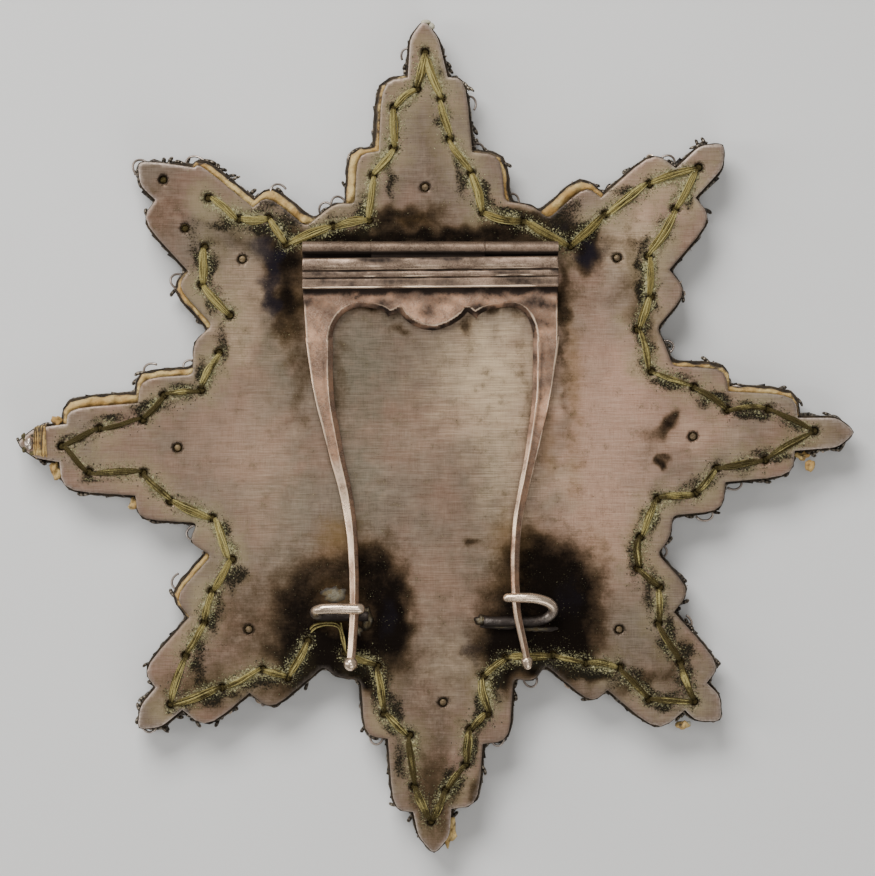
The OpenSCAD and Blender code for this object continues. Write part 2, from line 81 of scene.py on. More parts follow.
def buildPiece(name, points, faces, material, body, values=None, uv=None, sharp=False):
    # A mesh from points in mm. faces is a list of index rows, values a dictionary of one number per point.
    mesh = bpy.data.meshes.new(name)
    if isinstance(faces, np.ndarray):
        faces = faces.tolist()
    sizes = np.fromiter(map(len, faces), np.int32, len(faces))
    corners = np.fromiter((p for row in faces for p in row), np.int32, int(sizes.sum()))
    starts = (np.cumsum(sizes) - sizes).astype(np.int32)
    # Six times the closed volume is the sum over the faces of their middle times the cross products round
    # them. Where it is negative the faces point inwards, and every one is turned round.
    points = np.asarray(points, float)
    place = points[corners]
    following = np.arange(len(corners)) + 1
    following[starts + sizes - 1] = starts
    around = np.add.reduceat(np.cross(place, place[following]), starts)
    if (around * np.add.reduceat(place, starts) / sizes[:, None]).sum() < 0:
        corners = corners[np.repeat(2 * starts + sizes - 1, sizes) - np.arange(len(corners))]
    mesh.vertices.add(len(points))
    mesh.vertices.foreach_set("co", (points * metre).astype(np.float32).ravel())
    mesh.loops.add(len(corners))
    mesh.loops.foreach_set("vertex_index", corners)
    mesh.polygons.add(len(faces))
    mesh.polygons.foreach_set("loop_start", starts)
    mesh.update(calc_edges=True)
    mesh.validate()
    mesh.polygons.foreach_set("use_smooth", np.full(len(mesh.polygons), not sharp))
    for key, numbers in (values or {}).items():
        layer = mesh.attributes.new(key, "FLOAT", "POINT")
        layer.data.foreach_set("value", np.asarray(numbers, np.float32))
    if uv is not None:
        layer = mesh.uv_layers.new(name="along")
        layer.data.foreach_set("uv", np.asarray(uv, np.float32)[corners].ravel())
    mesh.materials.append(material)
    piece = addObject(name, mesh)
    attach(piece, body)
    return piece


def unevenness(points, size, seed, waves=16):
    # The sum of sine waves of seeded random direction, length about size, and phase: from about -1 to 1
    random = np.random.default_rng(seed)
    points = np.asarray(points, float)
    direction = random.normal(size=(waves, points.shape[-1]))
    direction /= np.linalg.norm(direction, axis=1)[:, None]
    wave = direction * (2 * np.pi / size * random.uniform(0.6, 1.7, waves))[:, None]
    phase = random.uniform(0, 2 * np.pi, waves)
    return np.sin(points @ wave.T + phase).sum(-1) / np.sqrt(waves)


def gridFaces(rows, columns, wrap=False):
    # Quads of a grid whose point (i, j) is i * columns + j. With wrap the last column meets the first.
    i, j = np.meshgrid(np.arange(rows - 1), np.arange(columns if wrap else columns - 1), indexing="ij")
    a = i * columns + j
    b = i * columns + (j + 1) % columns
    return np.stack([a, b, b + columns, a + columns], -1).reshape(-1, 4)


def shellFaces(rings, sides, count=1):
    # Faces of count closed shells of rings, one ring after another: quads between rings and a cap at each end
    start = (np.arange(count) * rings * sides)[:, None]
    walls = (gridFaces(rings, sides, wrap=True) + start[..., None]).reshape(-1, 4)
    return joinFaces(walls, np.arange(sides)[::-1] + start, np.arange(sides) + (rings - 1) * sides + start)


def fullTurn(steps):
    # So many angles at equal steps round a circle
    return np.arange(steps) * 2 * np.pi / steps


def tubes(paths, radii, sides, up, squash=1.0):
    # Rings of points round each path: centre + radius * (cos a * side + sin a * squash * lift), where side is
    # at right angles to the path and to `up`. paths is (count, stations, 3), radii (count, stations).
    paths = np.asarray(paths, float)
    count, stations, _ = paths.shape
    radii = np.broadcast_to(radii, (count, stations))
    along = np.gradient(paths, axis=1)
    along /= np.linalg.norm(along, axis=2, keepdims=True) + 1e-12
    side = np.cross(along, np.broadcast_to(up, along.shape))
    side /= np.linalg.norm(side, axis=2, keepdims=True) + 1e-12
    lift = np.cross(side, along)
    a = fullTurn(sides)
    ring = side[:, :, None] * np.cos(a)[:, None] + lift[:, :, None] * (np.sin(a) * squash)[:, None]
    points = paths[:, :, None] + ring * radii[:, :, None, None]
    return points.reshape(-1, 3), shellFaces(stations, sides, count)


def perRing(numbers, count, stations, sides):
    # Spreads one number per tube, or per station, over the points of every ring
    return np.repeat(np.broadcast_to(numbers, (count, stations)).ravel(), sides)


def meshArrays(mesh):
    # A mesh's points in metres and the three points of each of its triangles
    mesh.calc_loop_triangles()
    place = np.empty(len(mesh.vertices) * 3, np.float32)
    mesh.vertices.foreach_get("co", place)
    triangles = np.empty(len(mesh.loop_triangles) * 3, np.int32)
    mesh.loop_triangles.foreach_get("vertices", triangles)
    return place.reshape(-1, 3), triangles.reshape(-1, 3)


def outlineLoops(node, height):
    # The closed loops of a CAD node's flat faces at a height: edges that one such face alone uses, in turn
    place, triangles = meshArrays(frame["nodes"][node].data)
    welded, index = np.unique(np.round(place / metre, 3), axis=0, return_inverse=True)
    triangles = index.reshape(-1)[triangles]
    flat = triangles[(np.abs(welded[:, 2] - height) < 0.005)[triangles].all(1)]
    edges = np.concatenate([flat[:, [0, 1]], flat[:, [1, 2]], flat[:, [2, 0]]])
    alone = ~np.isin(edges[:, 0] * len(welded) + edges[:, 1], edges[:, 1] * len(welded) + edges[:, 0])
    following = {int(a): int(b) for a, b in edges[alone]}
    loops = []
    while following:
        start, point = following.popitem()
        loop = [start]
        while point != start:
            loop.append(point)
            point = following.pop(point)
        loops.append(welded[loop, :2])
    return sorted(loops, key=lambda loop: -np.ptp(loop[:, 0]))


def finer(loop, step):
    # The same closed loop with each side cut into equal parts no longer than step, its corners kept
    side = np.roll(loop, -1, 0) - loop
    parts = np.maximum(1, np.ceil(np.linalg.norm(side, axis=1) / step).astype(int))
    which = np.repeat(np.arange(len(loop)), parts)
    share = (np.arange(len(which)) - np.repeat(np.cumsum(parts) - parts, parts)) / parts[which]
    return loop[which] + side[which] * share[:, None]


def insideLoop(points, loop):
    # Even-odd rule: a point is inside if a ray from it crosses the loop an odd number of times
    a, b = loop, np.roll(loop, -1, 0)
    result = []
    for part in np.array_split(points, max(1, len(points) // 4000)):
        y = part[:, 1, None]
        crosses = (a[:, 1] > y) != (b[:, 1] > y)
        slope = np.where(b[:, 1] == a[:, 1], 1, b[:, 1] - a[:, 1])
        meets = (b[:, 0] - a[:, 0]) * (y - a[:, 1]) / slope + a[:, 0]
        result.append((crosses & (part[:, 0, None] < meets)).sum(1) % 2)
    return np.concatenate(result) == 1


def nearest(points, samples):
    # Distance from each point to the closest sample, and which one it is
    distance, which = [], []
    for part in np.array_split(points, max(1, len(points) // 3000)):
        square = (part ** 2).sum(1)[:, None] + (samples ** 2).sum(1) - 2 * part @ samples.T
        index = square.argmin(1)
        which.append(index)
        distance.append(np.sqrt(np.maximum(square[np.arange(len(part)), index], 0)))
    return np.concatenate(distance), np.concatenate(which)


def inwardOffset(loop, inset):
    # Each point of an anticlockwise loop moved inwards along the mean normal of its two sides
    before, after = loop - np.roll(loop, 1, 0), np.roll(loop, -1, 0) - loop
    normal = [np.stack([-v[:, 1], v[:, 0]], 1) / (np.linalg.norm(v, axis=1)[:, None] + 1e-9)
              for v in (before, after)]
    mean = normal[0] + normal[1]
    return loop + mean / (np.linalg.norm(mean, axis=1)[:, None] + 1e-9) * inset


def hexPoints(low, high, step):
    # Points step apart in rows 0.866 of a step apart, every second row moved by half a step
    x, y = np.meshgrid(np.arange(low[0], high[0], step), np.arange(low[1], high[1], step * 0.866))
    x[1::2] += step / 2
    return np.column_stack([x.ravel(), y.ravel()])


def anticlockwise(loop):
    # Turned round where the sum of x1 * y2 - x2 * y1 over its sides, twice its area, is negative
    area = (loop[:, 0] * np.roll(loop[:, 1], -1) - np.roll(loop[:, 0], -1) * loop[:, 1]).sum()
    return loop if area > 0 else loop[::-1]


def triangulate(loops, free):
    # Constrained Delaunay triangles of the loops and free points. All loops run anticlockwise, the outline
    # first and the rims of holes after it. Kept are the triangles on the left of the outline's edges or on
    # the right of a rim's, and those reached from them without crossing a loop.
    points = np.concatenate(loops + [free])
    edges, start = [], 0
    for loop in loops:
        index = np.arange(len(loop)) + start
        edges.append(np.column_stack([index, np.roll(index, -1)]))
        start += len(loop)
    _, lines, faces, spotOrigins, lineOrigins, _ = delaunay_2d_cdt(
        [Vector(p) for p in points], np.concatenate(edges).tolist(), [], 0, 1e-5, True)
    faces, count = np.array(faces), len(spotOrigins)
    spot = np.zeros(len(points), int)
    for k, which in enumerate(spotOrigins):
        spot[which] = k
    solid = spot[np.concatenate([edges[0]] + [pair[:, ::-1] for pair in edges[1:]])]
    side = faces * count + np.roll(faces, -1, 1)
    inner = np.isin(side, solid[:, 0] * count + solid[:, 1]).any(1)
    fixed = np.sort(np.array([line for line, which in zip(lines, lineOrigins) if which]), 1)
    shared = np.sort(np.stack([faces, np.roll(faces, -1, 1)], -1), -1) @ (count, 1)
    passable = ~np.isin(shared, fixed @ (count, 1))
    order = np.argsort(shared[passable], kind="stable")
    owner, key = np.repeat(np.arange(len(faces)), 3).reshape(-1, 3)[passable][order], shared[passable][order]
    pair = np.flatnonzero(key[1:] == key[:-1])
    one, other = owner[pair], owner[pair + 1]
    while True:
        spread = inner.copy()
        spread[one[inner[other]]] = True
        spread[other[inner[one]]] = True
        if (spread == inner).all():
            break
        inner = spread
    origin = np.array([which[0] if which else 0 for which in spotOrigins])
    return points, origin[faces[inner]]


# Shaders. The wiring is that of the material in the making.

wiring = {}


class Value:
    # An output of a shader node. Sums, differences and products of two, or of one and a number, are Math
    # nodes.
    def __init__(self, socket):
        self.socket = socket

    def __add__(self, other):
        return maths("ADD", self, other)

    def __sub__(self, other):
        return maths("SUBTRACT", self, other)

    def __mul__(self, other):
        return maths("MULTIPLY", self, other)


def addNode(kind, inputs=None, **settings):
    # A node with its settings. Each input is a number or colour that is set, or a Value that is linked.
    node = wiring["tree"].nodes.new(kind)
    for key, value in settings.items():
        setattr(node, key, value)
    for key, value in (inputs or {}).items():
        if isinstance(value, Value):
            wiring["tree"].links.new(value.socket, node.inputs[key])
        else:
            node.inputs[key].default_value = value
    return node


def output(which, kind, inputs=None, **settings):
    # One output of a new node
    return Value(addNode(kind, inputs, **settings).outputs[which])


def maths(operation, a, b):
    # operation(a, b) at every shaded point
    return output(0, "ShaderNodeMath", {0: a, 1: b}, operation=operation)


def larger(a, b):
    # max(a, b)
    return maths("MAXIMUM", a, b)


def clamped(value):
    # A sum or product kept from 0 to 1
    value.socket.node.use_clamp = True
    return value


def between(value, low, high, toLow=0.0, toHigh=1.0):
    # 0 below low, 1 above high and smooth between, stretched to the last two numbers
    return output(0, "ShaderNodeMapRange", {0: value, 1: low, 2: high, 3: toLow, 4: toHigh},
                  interpolation_type="SMOOTHSTEP")


def blend(factor, a, b):
    # a * (1 - factor) + b * factor
    return output(2, "ShaderNodeMix", {0: factor, 6: a, 7: b}, data_type="RGBA")


def tone(red, green, blue):
    # A colour as the screen shows it, 0 to 255, turned into the linear colour that a shader takes
    values = np.array([red, green, blue]) / 255
    return (*np.where(values <= 0.04045, values / 12.92, ((values + 0.055) / 1.055) ** 2.4), 1)


def grain(size, detail=4.0, rough=0.55, shift=0.0):
    # Noise whose blobs are about size mm across, or a different size along each axis
    sizes = size if isinstance(size, tuple) else (size, size, size)
    scaled = output(0, "ShaderNodeMapping", {
        "Vector": output("Object", "ShaderNodeTexCoord"), "Location": (shift, shift, shift),
        "Scale": tuple(1 / (metre * s) for s in sizes)})
    sockets = {"Vector": scaled, "Scale": 1.0, "Detail": detail, "Roughness": rough}
    return output(0, "ShaderNodeTexNoise", sockets)


def painted(name):
    # The number that buildPiece gave to each point under this name
    return output("Fac", "ShaderNodeAttribute", attribute_name=name)


def startMaterial(name, metallic=0.0, roughness=0.5, **sockets):
    # A new material of one Principled shader, to which the functions above then add
    material = bpy.data.materials.new(name)
    material.use_nodes = True
    material.node_tree.nodes.clear()
    wiring.update(material=material, tree=material.node_tree)
    settings = {"Metallic": metallic, "Roughness": roughness, **sockets}
    wiring["shader"] = addNode("ShaderNodeBsdfPrincipled", settings)
    addNode("ShaderNodeOutputMaterial", {0: Value(wiring["shader"].outputs[0])})


def finishMaterial(colour, roughness=None, metallic=None, height=None, depth=0.05, strength=1.0):
    # Links what is given to the shader. depth is the height, in mm, that the bump gives to a change of 1.
    bump = None
    if height is not None:
        relief = {"Strength": strength, "Distance": depth * metre, "Height": height}
        bump = output(0, "ShaderNodeBump", relief)
    settings = {"Base Color": colour, "Roughness": roughness, "Metallic": metallic, "Normal": bump}
    for key, value in settings.items():
        if value is not None:
            wiring["tree"].links.new(value.socket, wiring["shader"].inputs[key])
    return wiring["material"]


# Camera, floor and light.

view = {"centre": (0.385, 0.33), "width": 96.25, "distance": 600.0, "sensor": 36.0}


def setCamera():
    # Looks straight down on the plate: lens = sensor * distance / width
    camera = bpy.data.cameras.new("camera")
    camera.sensor_fit = "HORIZONTAL"
    camera.sensor_width = view["sensor"]
    camera.lens = view["sensor"] * view["distance"] / view["width"]
    camera.clip_start = 0.01
    holder = addObject("camera", camera)
    holder.location = (view["centre"][0] * metre, view["centre"][1] * metre,
                       (plateTop + view["distance"]) * metre)
    bpy.context.scene.camera = holder


studio = {
    "floorSize": 1600.0,
    "world": 0.2,
    "lamps": [  # name, place, size across and along, watts
        ("topSoftbox", (-170.0, 400.0, 430.0), (380.0, 260.0), 4.0),
        ("overhead", (80.0, -40.0, 720.0), (300.0, 300.0), 0.9),
        ("lowerFill", (160.0, -420.0, 330.0), (360.0, 240.0), 0.6),
        ("leftSoftbox", (-400.0, 20.0, 250.0), (130.0, 420.0), 0.75),
    ],
}


def setStudio():
    # A square floor at height 0, four lamps turned towards the origin, and an even dim sky
    startMaterial("paleFloor", roughness=0.75)
    material = finishMaterial(blend(grain(40.0, 3), tone(224, 223, 220), tone(230, 229, 227)),
                              height=grain(0.8, 3), depth=0.02)
    half = studio["floorSize"] / 2
    mesh = bpy.data.meshes.new("floor")
    corners = np.array([[-half, -half, 0], [half, -half, 0], [half, half, 0], [-half, half, 0]]) * metre
    mesh.from_pydata(corners.tolist(), [], [[0, 1, 2, 3]])
    mesh.materials.append(material)
    addObject("floor", mesh)
    for name, place, size, watts in studio["lamps"]:
        lamp = bpy.data.lights.new(name, "AREA")
        lamp.shape = "RECTANGLE"
        lamp.size, lamp.size_y = (value * metre for value in size)
        lamp.energy = watts
        holder = addObject(name, lamp)
        holder.location = Vector(place) * metre
        holder.rotation_euler = (-holder.location).to_track_quat("-Z", "Y").to_euler()
    world = bpy.data.worlds.new("studioWorld")
    world.use_nodes = True
    world.node_tree.nodes["Background"].inputs[0].default_value = (1.0, 0.99, 0.975, 1)
    world.node_tree.nodes["Background"].inputs[1].default_value = studio["world"]
    bpy.context.scene.world = world


setCamera()
setStudio()
print("camera, floor and lamps")


# The back plate.

plate = {
    "spacing": 0.36, "edgeRound": 0.16, "edgeDrop": 0.13, "rimPoints": 24, "holeRound": 0.12,
    "holeDrop": 0.09, "sinkDepth": 0.035, "sinkWidth": 0.7, "pitDepth": 0.1, "haloWidth": 0.17,
    "waveHeight": 0.022, "waveLength": 13.0,
    # Stains, painted shadows, painted sheen and fields of tone: middle, half length, half width, strength,
    # and the turn in degrees where there is one
    # The brown stains hold real stains and also painted shadow: the dark band under the fork's bar and the
    # strips beside the fork's arms and prongs
    "brownStainsAndShadows": [(-4.8, -19.7, 2.4, 5.7, 0.97), (-15, -18.8, 2.9, 4.4, 0.75),
                    (-13.1, -23.2, 4.8, 2.4, 0.96), (-9.8, -23, 4.4, 2.2, 0.9),
                    (-10.3, -14.4, 5.1, 2.6, 0.5), (-6.6, -13.8, 2.6, 3.7, 0.6),
                    (-9.8, -18.8, 6.6, 5.7, 0.38), (14.2, -16.4, 3.2, 4.4, 0.94, -12),
                    (11.7, -13.1, 2.4, 2.9, 0.45), (15.2, -20.6, 2.2, 4, 0.95),
                    (11.7, -22.8, 5.7, 2.2, 0.95), (8.1, -21.9, 3.1, 3.3, 0.9), (9.5, -17.7, 4.4, 2.9, 0.6),
                    (11.1, -13.1, 4.4, 2.9, 0.6), (18, -17.9, 1.5, 4.8, 0.4), (11.7, -18.6, 6.4, 6.4, 0.34),
                    (-10.9, -25, 3.7, 1.2, 0.97), (-14.7, -25, 2, 2, 0.9), (-7.3, -26.5, 1.5, 1.8, 0.9),
                    (7.3, -25.4, 1.5, 2.4, 0.95), (10.8, -24.5, 4.4, 1, 0.95), (16.9, -25.4, 3.1, 1, 0.9),
                    (21.8, -26.9, 2.9, 0.8, 0.45, 20), (26.6, -24.1, 0.8, 2.9, 0.35, -20),
                    (-16.5, 20.4, 2.2, 2.4, 0.78), (-16.3, 15.5, 1.8, 4.8, 0.75),
                    (-14.6, 7.8, 1.4, 7.3, 0.38, -4), (16.7, 20.6, 2, 2.2, 0.8),
                    (15.2, 22.6, 2.9, 1.3, 0.95), (14.3, 15.5, 0.7, 5.1, 0.5), (15, 13.3, 1.5, 4.4, 0.14),
                    (14.2, 6.7, 0.8, 7.3, 0.3, 6), (-10.6, 6.2, 1.1, 8.1, 0.34, -4),
                    (10.2, 5.6, 1, 7.3, 0.28, 4), (-0.4, 22.2, 16.5, 1, 0.78), (9.9, 24.1, 4.4, 1.5, 0.85),
                    (2.9, 23, 7.7, 0.8, 0.5), (-5.5, 24.1, 2, 1.5, 0.6), (-11.4, 22.6, 5.1, 0.9, 0.9),
                    (-2.4, 24.8, 4.8, 1.3, 0.6), (-0.4, 15.7, 14.1, 1.5, 0.93), (-3.7, 12.2, 1.5, 0.9, 0.5),
                    (3.7, 12.7, 1.1, 0.9, 0.55), (24.9, -25, 4.4, 4.4, 0.22),
                    (-25.7, -27.4, 5.5, 3.1, 0.42), (-0.2, -39.5, 2.9, 5.9, 0.52),
                    (-0.4, -28.5, 6.6, 7.7, 0.2), (13.4, -27.6, 3.7, 1.5, 0.5),
                    (-14.7, -27.4, 4.4, 2, 0.55), (22.7, 15.5, 2, 7.7, 0.4, 8), (-20.2, -19.7, 4, 7.7, 0.2),
                    (44.1, 1.1, 1.8, 1, 0.16), (39.2, 0.1, 3.7, 1.8, 0.22), (25.5, 1.9, 1.4, 0.8, 0.75, 40),
                    (25, -2.4, 0.8, 0.4, 0.8, 45), (24, 0.1, 2, 1.8, 0.25), (4, -11.4, 0.9, 0.4, 0.6, 20),
                    (-0.2, 32, 1.5, 6.6, 0.22), (-30.1, 25.4, 2.9, 4, 0.25),
                    (-22.7, 22.6, 4.4, 3.3, 0.2, 30), (-21.6, 11.1, 3.3, 3.7, 0.12),
                    (-22.2, -19.7, 3.3, 5.1, 0.2), (5.1, -39.5, 1, 4, 0.5)],
    "blueStains": [(-18, 19.7, 1.4, 2.6, 0.95), (-17.8, 15.5, 1, 2.9, 0.8), (-18.9, 22.1, 1.3, 1.3, 0.7),
                   (17.2, 20.5, 1.8, 1.8, 0.9, 30), (13.9, 24.1, 2.2, 1.1, 0.7),
                   (-5.1, -19.1, 1.1, 2.9, 0.5), (15, -17.5, 2, 2.6, 0.45), (7.3, -8.7, 2.2, 1.3, 0.3),
                   (-22.2, 22.1, 2.4, 1.3, 0.35, -20), (-26.2, 24.1, 2.9, 1.3, 0.3, -40),
                   (4, -23, 1.5, 1.3, 0.5)],
    "ochreStains": [(7.9, -10.3, 2.4, 4.2, 0.36), (12.3, 0.1, 1.4, 6.2, 0.45), (4, -26.3, 1.1, 1.5, 0.3),
                    (-4.3, -13.1, 1.5, 2.2, 0.22), (-10.6, -16.6, 2.9, 1.5, 0.9),
                    (8.6, -15.8, 2.9, 1.5, 0.6), (-9.8, -20.2, 2.2, 1.1, 0.5), (-2.4, 24.3, 2.3, 0.7, 1.4),
                    (15.3, 7.8, 1.2, 8.8, 0.5, 3), (-10.3, -10.9, 3.3, 2.9, 0.7),
                    (9.5, -11.4, 2.9, 2.9, 0.6), (-10.8, -18.8, 2.4, 1.5, 0.8),
                    (11.7, -20.6, 4.2, 1.1, 0.9, -8), (-16.1, 13.3, 1.4, 4.8, 0.5),
                    (15.4, -4.3, 1.4, 4.8, 0.35, 4), (18.3, -12, 2.2, 4, 0.35), (6.2, -23.5, 1.3, 0.7, 0.5),
                    (22.7, -10.9, 1.3, 4.4, 0.4), (-14.7, 15.5, 1.3, 1.1, 0.5)],
    # The pale fields are painted highlights: cream sheen on the brushed silver, strongest inside the fork at
    # the upper right
    "paleSheenFields": [(15.2, -4.3, 2.4, 2.9, 0.55), (6.2, 7.3, 5.7, 6.4, 1.1), (7.8, -3.2, 3.3, 8.1, 0.55),
                   (18.7, -8.7, 3.3, 5.5, 0.35), (-18.9, -3.2, 3.7, 8.8, 0.2), (-21.6, 11.7, 2.9, 4, 0.5),
                   (0.3, -17.5, 3.7, 7.3, 0.12), (21, 21, 3.3, 3.1, 0.45), (2, -25.4, 3.1, 3.7, 0.3),
                   (-0.4, 2.3, 6.6, 6.6, 0.12), (22.7, 23.2, 2.2, 2.2, 0.5), (29.3, 0.4, 3.3, 1.8, 0.3),
                   (-21.3, 17.2, 3.3, 3.3, 0.4)],
    "pinkFields": [(18.3, -7, 5.5, 8.8, 0.95), (20.5, 4.5, 4.8, 8.8, 0.95), (16.1, 1.2, 1.8, 9.9, 0.6, 4),
                   (-14.7, -21.9, 1.8, 2.2, 0.3), (-21.3, 0.1, 5.5, 5.5, 0.35), (28.2, 1.2, 4.4, 2.2, 0.5),
                   (0.7, 0.1, 4.4, 5.5, 0.12), (23.8, 27.6, 4.4, 3.3, 0.5, -30)],
    "greenFields": [(6.6, -3.2, 1.8, 4.8, 0.5), (-21.8, 22.6, 4.8, 4, 0.6, -30),
                    (-25.7, 0.1, 6.6, 5.5, 0.35), (-8.4, 7.8, 4.2, 6.8, 1), (-8.8, -4.3, 3.1, 8.4, 0.8, 6),
                    (-17.4, 10, 2.6, 5.7, 0.9), (21.6, -17.5, 2.9, 4.8, 0.7), (4.4, -12.5, 2.9, 5.1, 0.45),
                    (-16.9, -10.9, 2.9, 6.2, 0.4), (-14.7, -4.3, 1.5, 6.6, 0.6),
                    (13.9, -6.5, 1.8, 6.6, 0.3), (-0.4, -8.7, 4.4, 4.4, 0.2)],
    "sootSpots": [(-7.6, 24.9, 0.9, 2.4, 1.1), (-4.8, 28.2, 0.8, 2, 1), (-9, 27.6, 0.6, 2.6, 0.8),
                  (-10.8, 24.9, 1.1, 0.7, 0.8), (-9.8, 23.4, 2.6, 0.7, 0.9), (-4.3, 34.8, 0.6, 0.9, 0.6),
                  (0, 39.7, 0.6, 1.3, 0.9), (1.2, 35.3, 0.7, 1.8, 0.9), (3.1, 28.9, 0.8, 2.4, 0.9),
                  (6, 27.1, 0.9, 1.8, 1), (8.4, 24.9, 2.2, 0.9, 1.1), (13.9, 25.2, 2.4, 2, 1.2),
                  (16.7, 23.6, 1.5, 1.1, 1.1), (21.6, 27.6, 2.4, 0.7, 0.7), (25.7, 30.4, 1.8, 0.4, 0.5),
                  (27.9, 26.5, 0.9, 1.5, 0.6), (25.7, 23, 1.1, 1.8, 0.5), (23, 18.8, 0.7, 4.4, 0.95),
                  (24.4, 15.5, 0.6, 2.6, 0.6), (23.1, 10.6, 0.9, 2.6, 1.05), (26, 6.5, 2.4, 0.8, 0.9),
                  (30.6, 4.7, 2, 0.8, 0.9), (35, 3.2, 2.9, 0.8, 1.1), (39.7, 1.9, 1.5, 0.7, 0.9),
                  (37.5, -1.5, 2.9, 0.7, 0.9), (33.1, -3.2, 2.2, 0.6, 0.6), (28.7, -4.8, 1.5, 0.9, 0.8),
                  (23.8, -8.7, 0.9, 2.6, 1), (22, -13.1, 0.9, 2.6, 1.05), (23.8, -16.4, 0.9, 2.2, 0.8),
                  (25.7, -20.8, 0.9, 2.9, 1.1), (27.6, -24.6, 1.1, 3.3, 1.2), (25.4, -28.5, 2.9, 0.9, 1.1),
                  (21.6, -26.3, 2.6, 1.3, 1.25), (17.2, -25.4, 3.3, 1.1, 1.3), (11.7, -24.5, 4, 1, 1.3),
                  (7, -26.3, 0.9, 2.4, 1.15), (5.1, -30.1, 1, 2.4, 1.15), (4, -34, 0.9, 2, 1),
                  (1.8, -37.8, 1.1, 1.8, 1.15), (-0.4, -40.6, 1, 1.1, 0.9), (-3.7, -35.1, 0.8, 2.2, 1.15),
                  (-4.3, -30.7, 1, 2.6, 1.2), (-5.6, -27.4, 1, 2.2, 1.2), (-8.4, -25, 2, 1.1, 1.3),
                  (-14.7, -24.6, 1.8, 2.2, 1.2), (-18.9, -26.5, 2.6, 1, 1.15),
                  (-24.1, -28.2, 3.7, 0.8, 1.05), (-28.2, -29.8, 1.5, 0.7, 0.8), (-25.7, -24.6, 1, 2.6, 1),
                  (-24.1, -19.7, 0.9, 2.4, 0.95), (-21.8, -14.7, 0.8, 2.4, 1.05),
                  (-23.3, -10.3, 0.9, 1.8, 0.85), (-26.8, -7, 1.5, 0.7, 0.5), (-31.2, -5.2, 1.5, 0.6, 0.4),
                  (-38.4, -4.5, 2.4, 0.4, 0.5), (-39.6, 0.1, 1.1, 0.4, 0.7), (-35.1, 2.5, 2.6, 0.6, 0.9),
                  (-31.2, 4, 2.2, 0.9, 1.05), (-27.4, 5.8, 2, 0.7, 0.9), (-25.2, 7.6, 0.8, 1.5, 1.05),
                  (-23.3, 11.1, 0.8, 2, 0.75), (-24.2, 15.5, 1, 1.5, 0.8), (-25.7, 19.7, 0.9, 2, 1),
                  (-24.3, 18.8, 0.7, 2.2, 0.85), (-26.8, 23, 1.3, 1.5, 0.6), (-23, 23.8, 2.2, 0.9, 0.9),
                  (-18.9, 23.4, 2.9, 0.8, 1.05), (-15.8, 24.5, 1.8, 1.5, 1.25),
                  (-17.5, 26, 2.2, 0.7, 1.05)],
    "pits": [(0.55, 9.9, 0.34), (0.0, 9.75, 0.25), (1.85, -2.4, 0.2), (9.5, -6.1, 0.24), (-5.8, 5.2, 0.12),
             (4.2, 1.6, 0.1)],
}

plateLoops = outlineLoops("back_plate", plateTop)
plateOutline = finer(anticlockwise(plateLoops[0]), 0.22)
holeCentres = np.array([loop.mean(0) for loop in plateLoops[1:]])
holeRadii = np.array([np.linalg.norm(loop - loop.mean(0), axis=1).mean() for loop in plateLoops[1:]])
isTack = holeRadii > holeRadii.min() + 0.012


def sewingOrder():
    # Sewing holes in the order in which they stand along the outline
    sewn = holeCentres[~isTack]
    return sewn[np.argsort(nearest(sewn, plateOutline)[1])]


# The thread misses the gaps that start or end at the bare holes, in the upper left point, and the open gaps:
# one where it has come loose beside the left hook, and one in the notch below the upper left point.
thread = {"bareHoles": [(-27.4, 23.4), (-29.8, 28.7)],
          "openGaps": [((-13.9, -21.9), (-9.7, -23.3)), ((-22.4, 13.6), (-23.4, 9.9))],
          "strands": 11, "strandRadius": 0.07, "stations": 18, "sides": 5, "bundleHalf": 0.37,
          "inset": 0.12, "dive": 0.42, "rise": 0.42,
          "grime": [(178, 17, 1.0), (0, 20, 0.9), (270, 22, 0.6), (318, 18, 0.75), (300, 14, 0.6),
                    (228, 14, 0.4), (60, 12, 0.2)]}
sewingHoles = sewingOrder()


def sewnGaps():
    # Pairs of neighbouring holes with thread between them
    start, end = sewingHoles, np.roll(sewingHoles, -1, 0)
    bare = np.zeros(len(start), bool)
    for hole in thread["bareHoles"]:
        bare |= (np.linalg.norm(start - hole, axis=1) < 1) | (np.linalg.norm(end - hole, axis=1) < 1)
    for gap in thread["openGaps"]:
        for a, b in (gap, gap[::-1]):
            bare |= (np.linalg.norm(start - a, axis=1) < 1) & (np.linalg.norm(end - b, axis=1) < 1)
    return start[~bare], end[~bare]


gapStart, gapEnd = sewnGaps()
threadLine = gapStart[:, None] + (gapEnd - gapStart)[:, None] * np.linspace(0, 1, 40)[:, None]
threadLine = threadLine.reshape(-1, 2)


def grimeAt(points):
    # How dirty the thread is, from the direction in which it lies from the middle
    angle = np.degrees(np.arctan2(points[..., 1], points[..., 0]))
    total = np.zeros(angle.shape)
    for middle, spread, strength in thread["grime"]:
        off = (angle - middle + 180) % 360 - 180
        total = np.maximum(total, strength * bell(off, 0, spread))
    return total


def patches(points, table, seed, stir=0.9):
    # Soft spots joined as 1 - product of (1 - strength * exp(-distance squared)), stirred by unevenness
    moved = points + stir * np.stack([unevenness(points, 3.4, seed), unevenness(points, 3.4, seed + 1)], 1)
    clear = np.ones(len(points))
    for x, y, long, wide, strength, *turn in table:
        c, s = np.cos(np.radians(sum(turn))), np.sin(np.radians(sum(turn)))
        u = ((moved[:, 0] - x) * c + (moved[:, 1] - y) * s) / long
        v = ((moved[:, 1] - y) * c - (moved[:, 0] - x) * s) / wide
        clear *= 1 - min(strength, 0.98) * np.exp(-(u ** 2 + v ** 2) ** 1.2)
    return 1 - clear


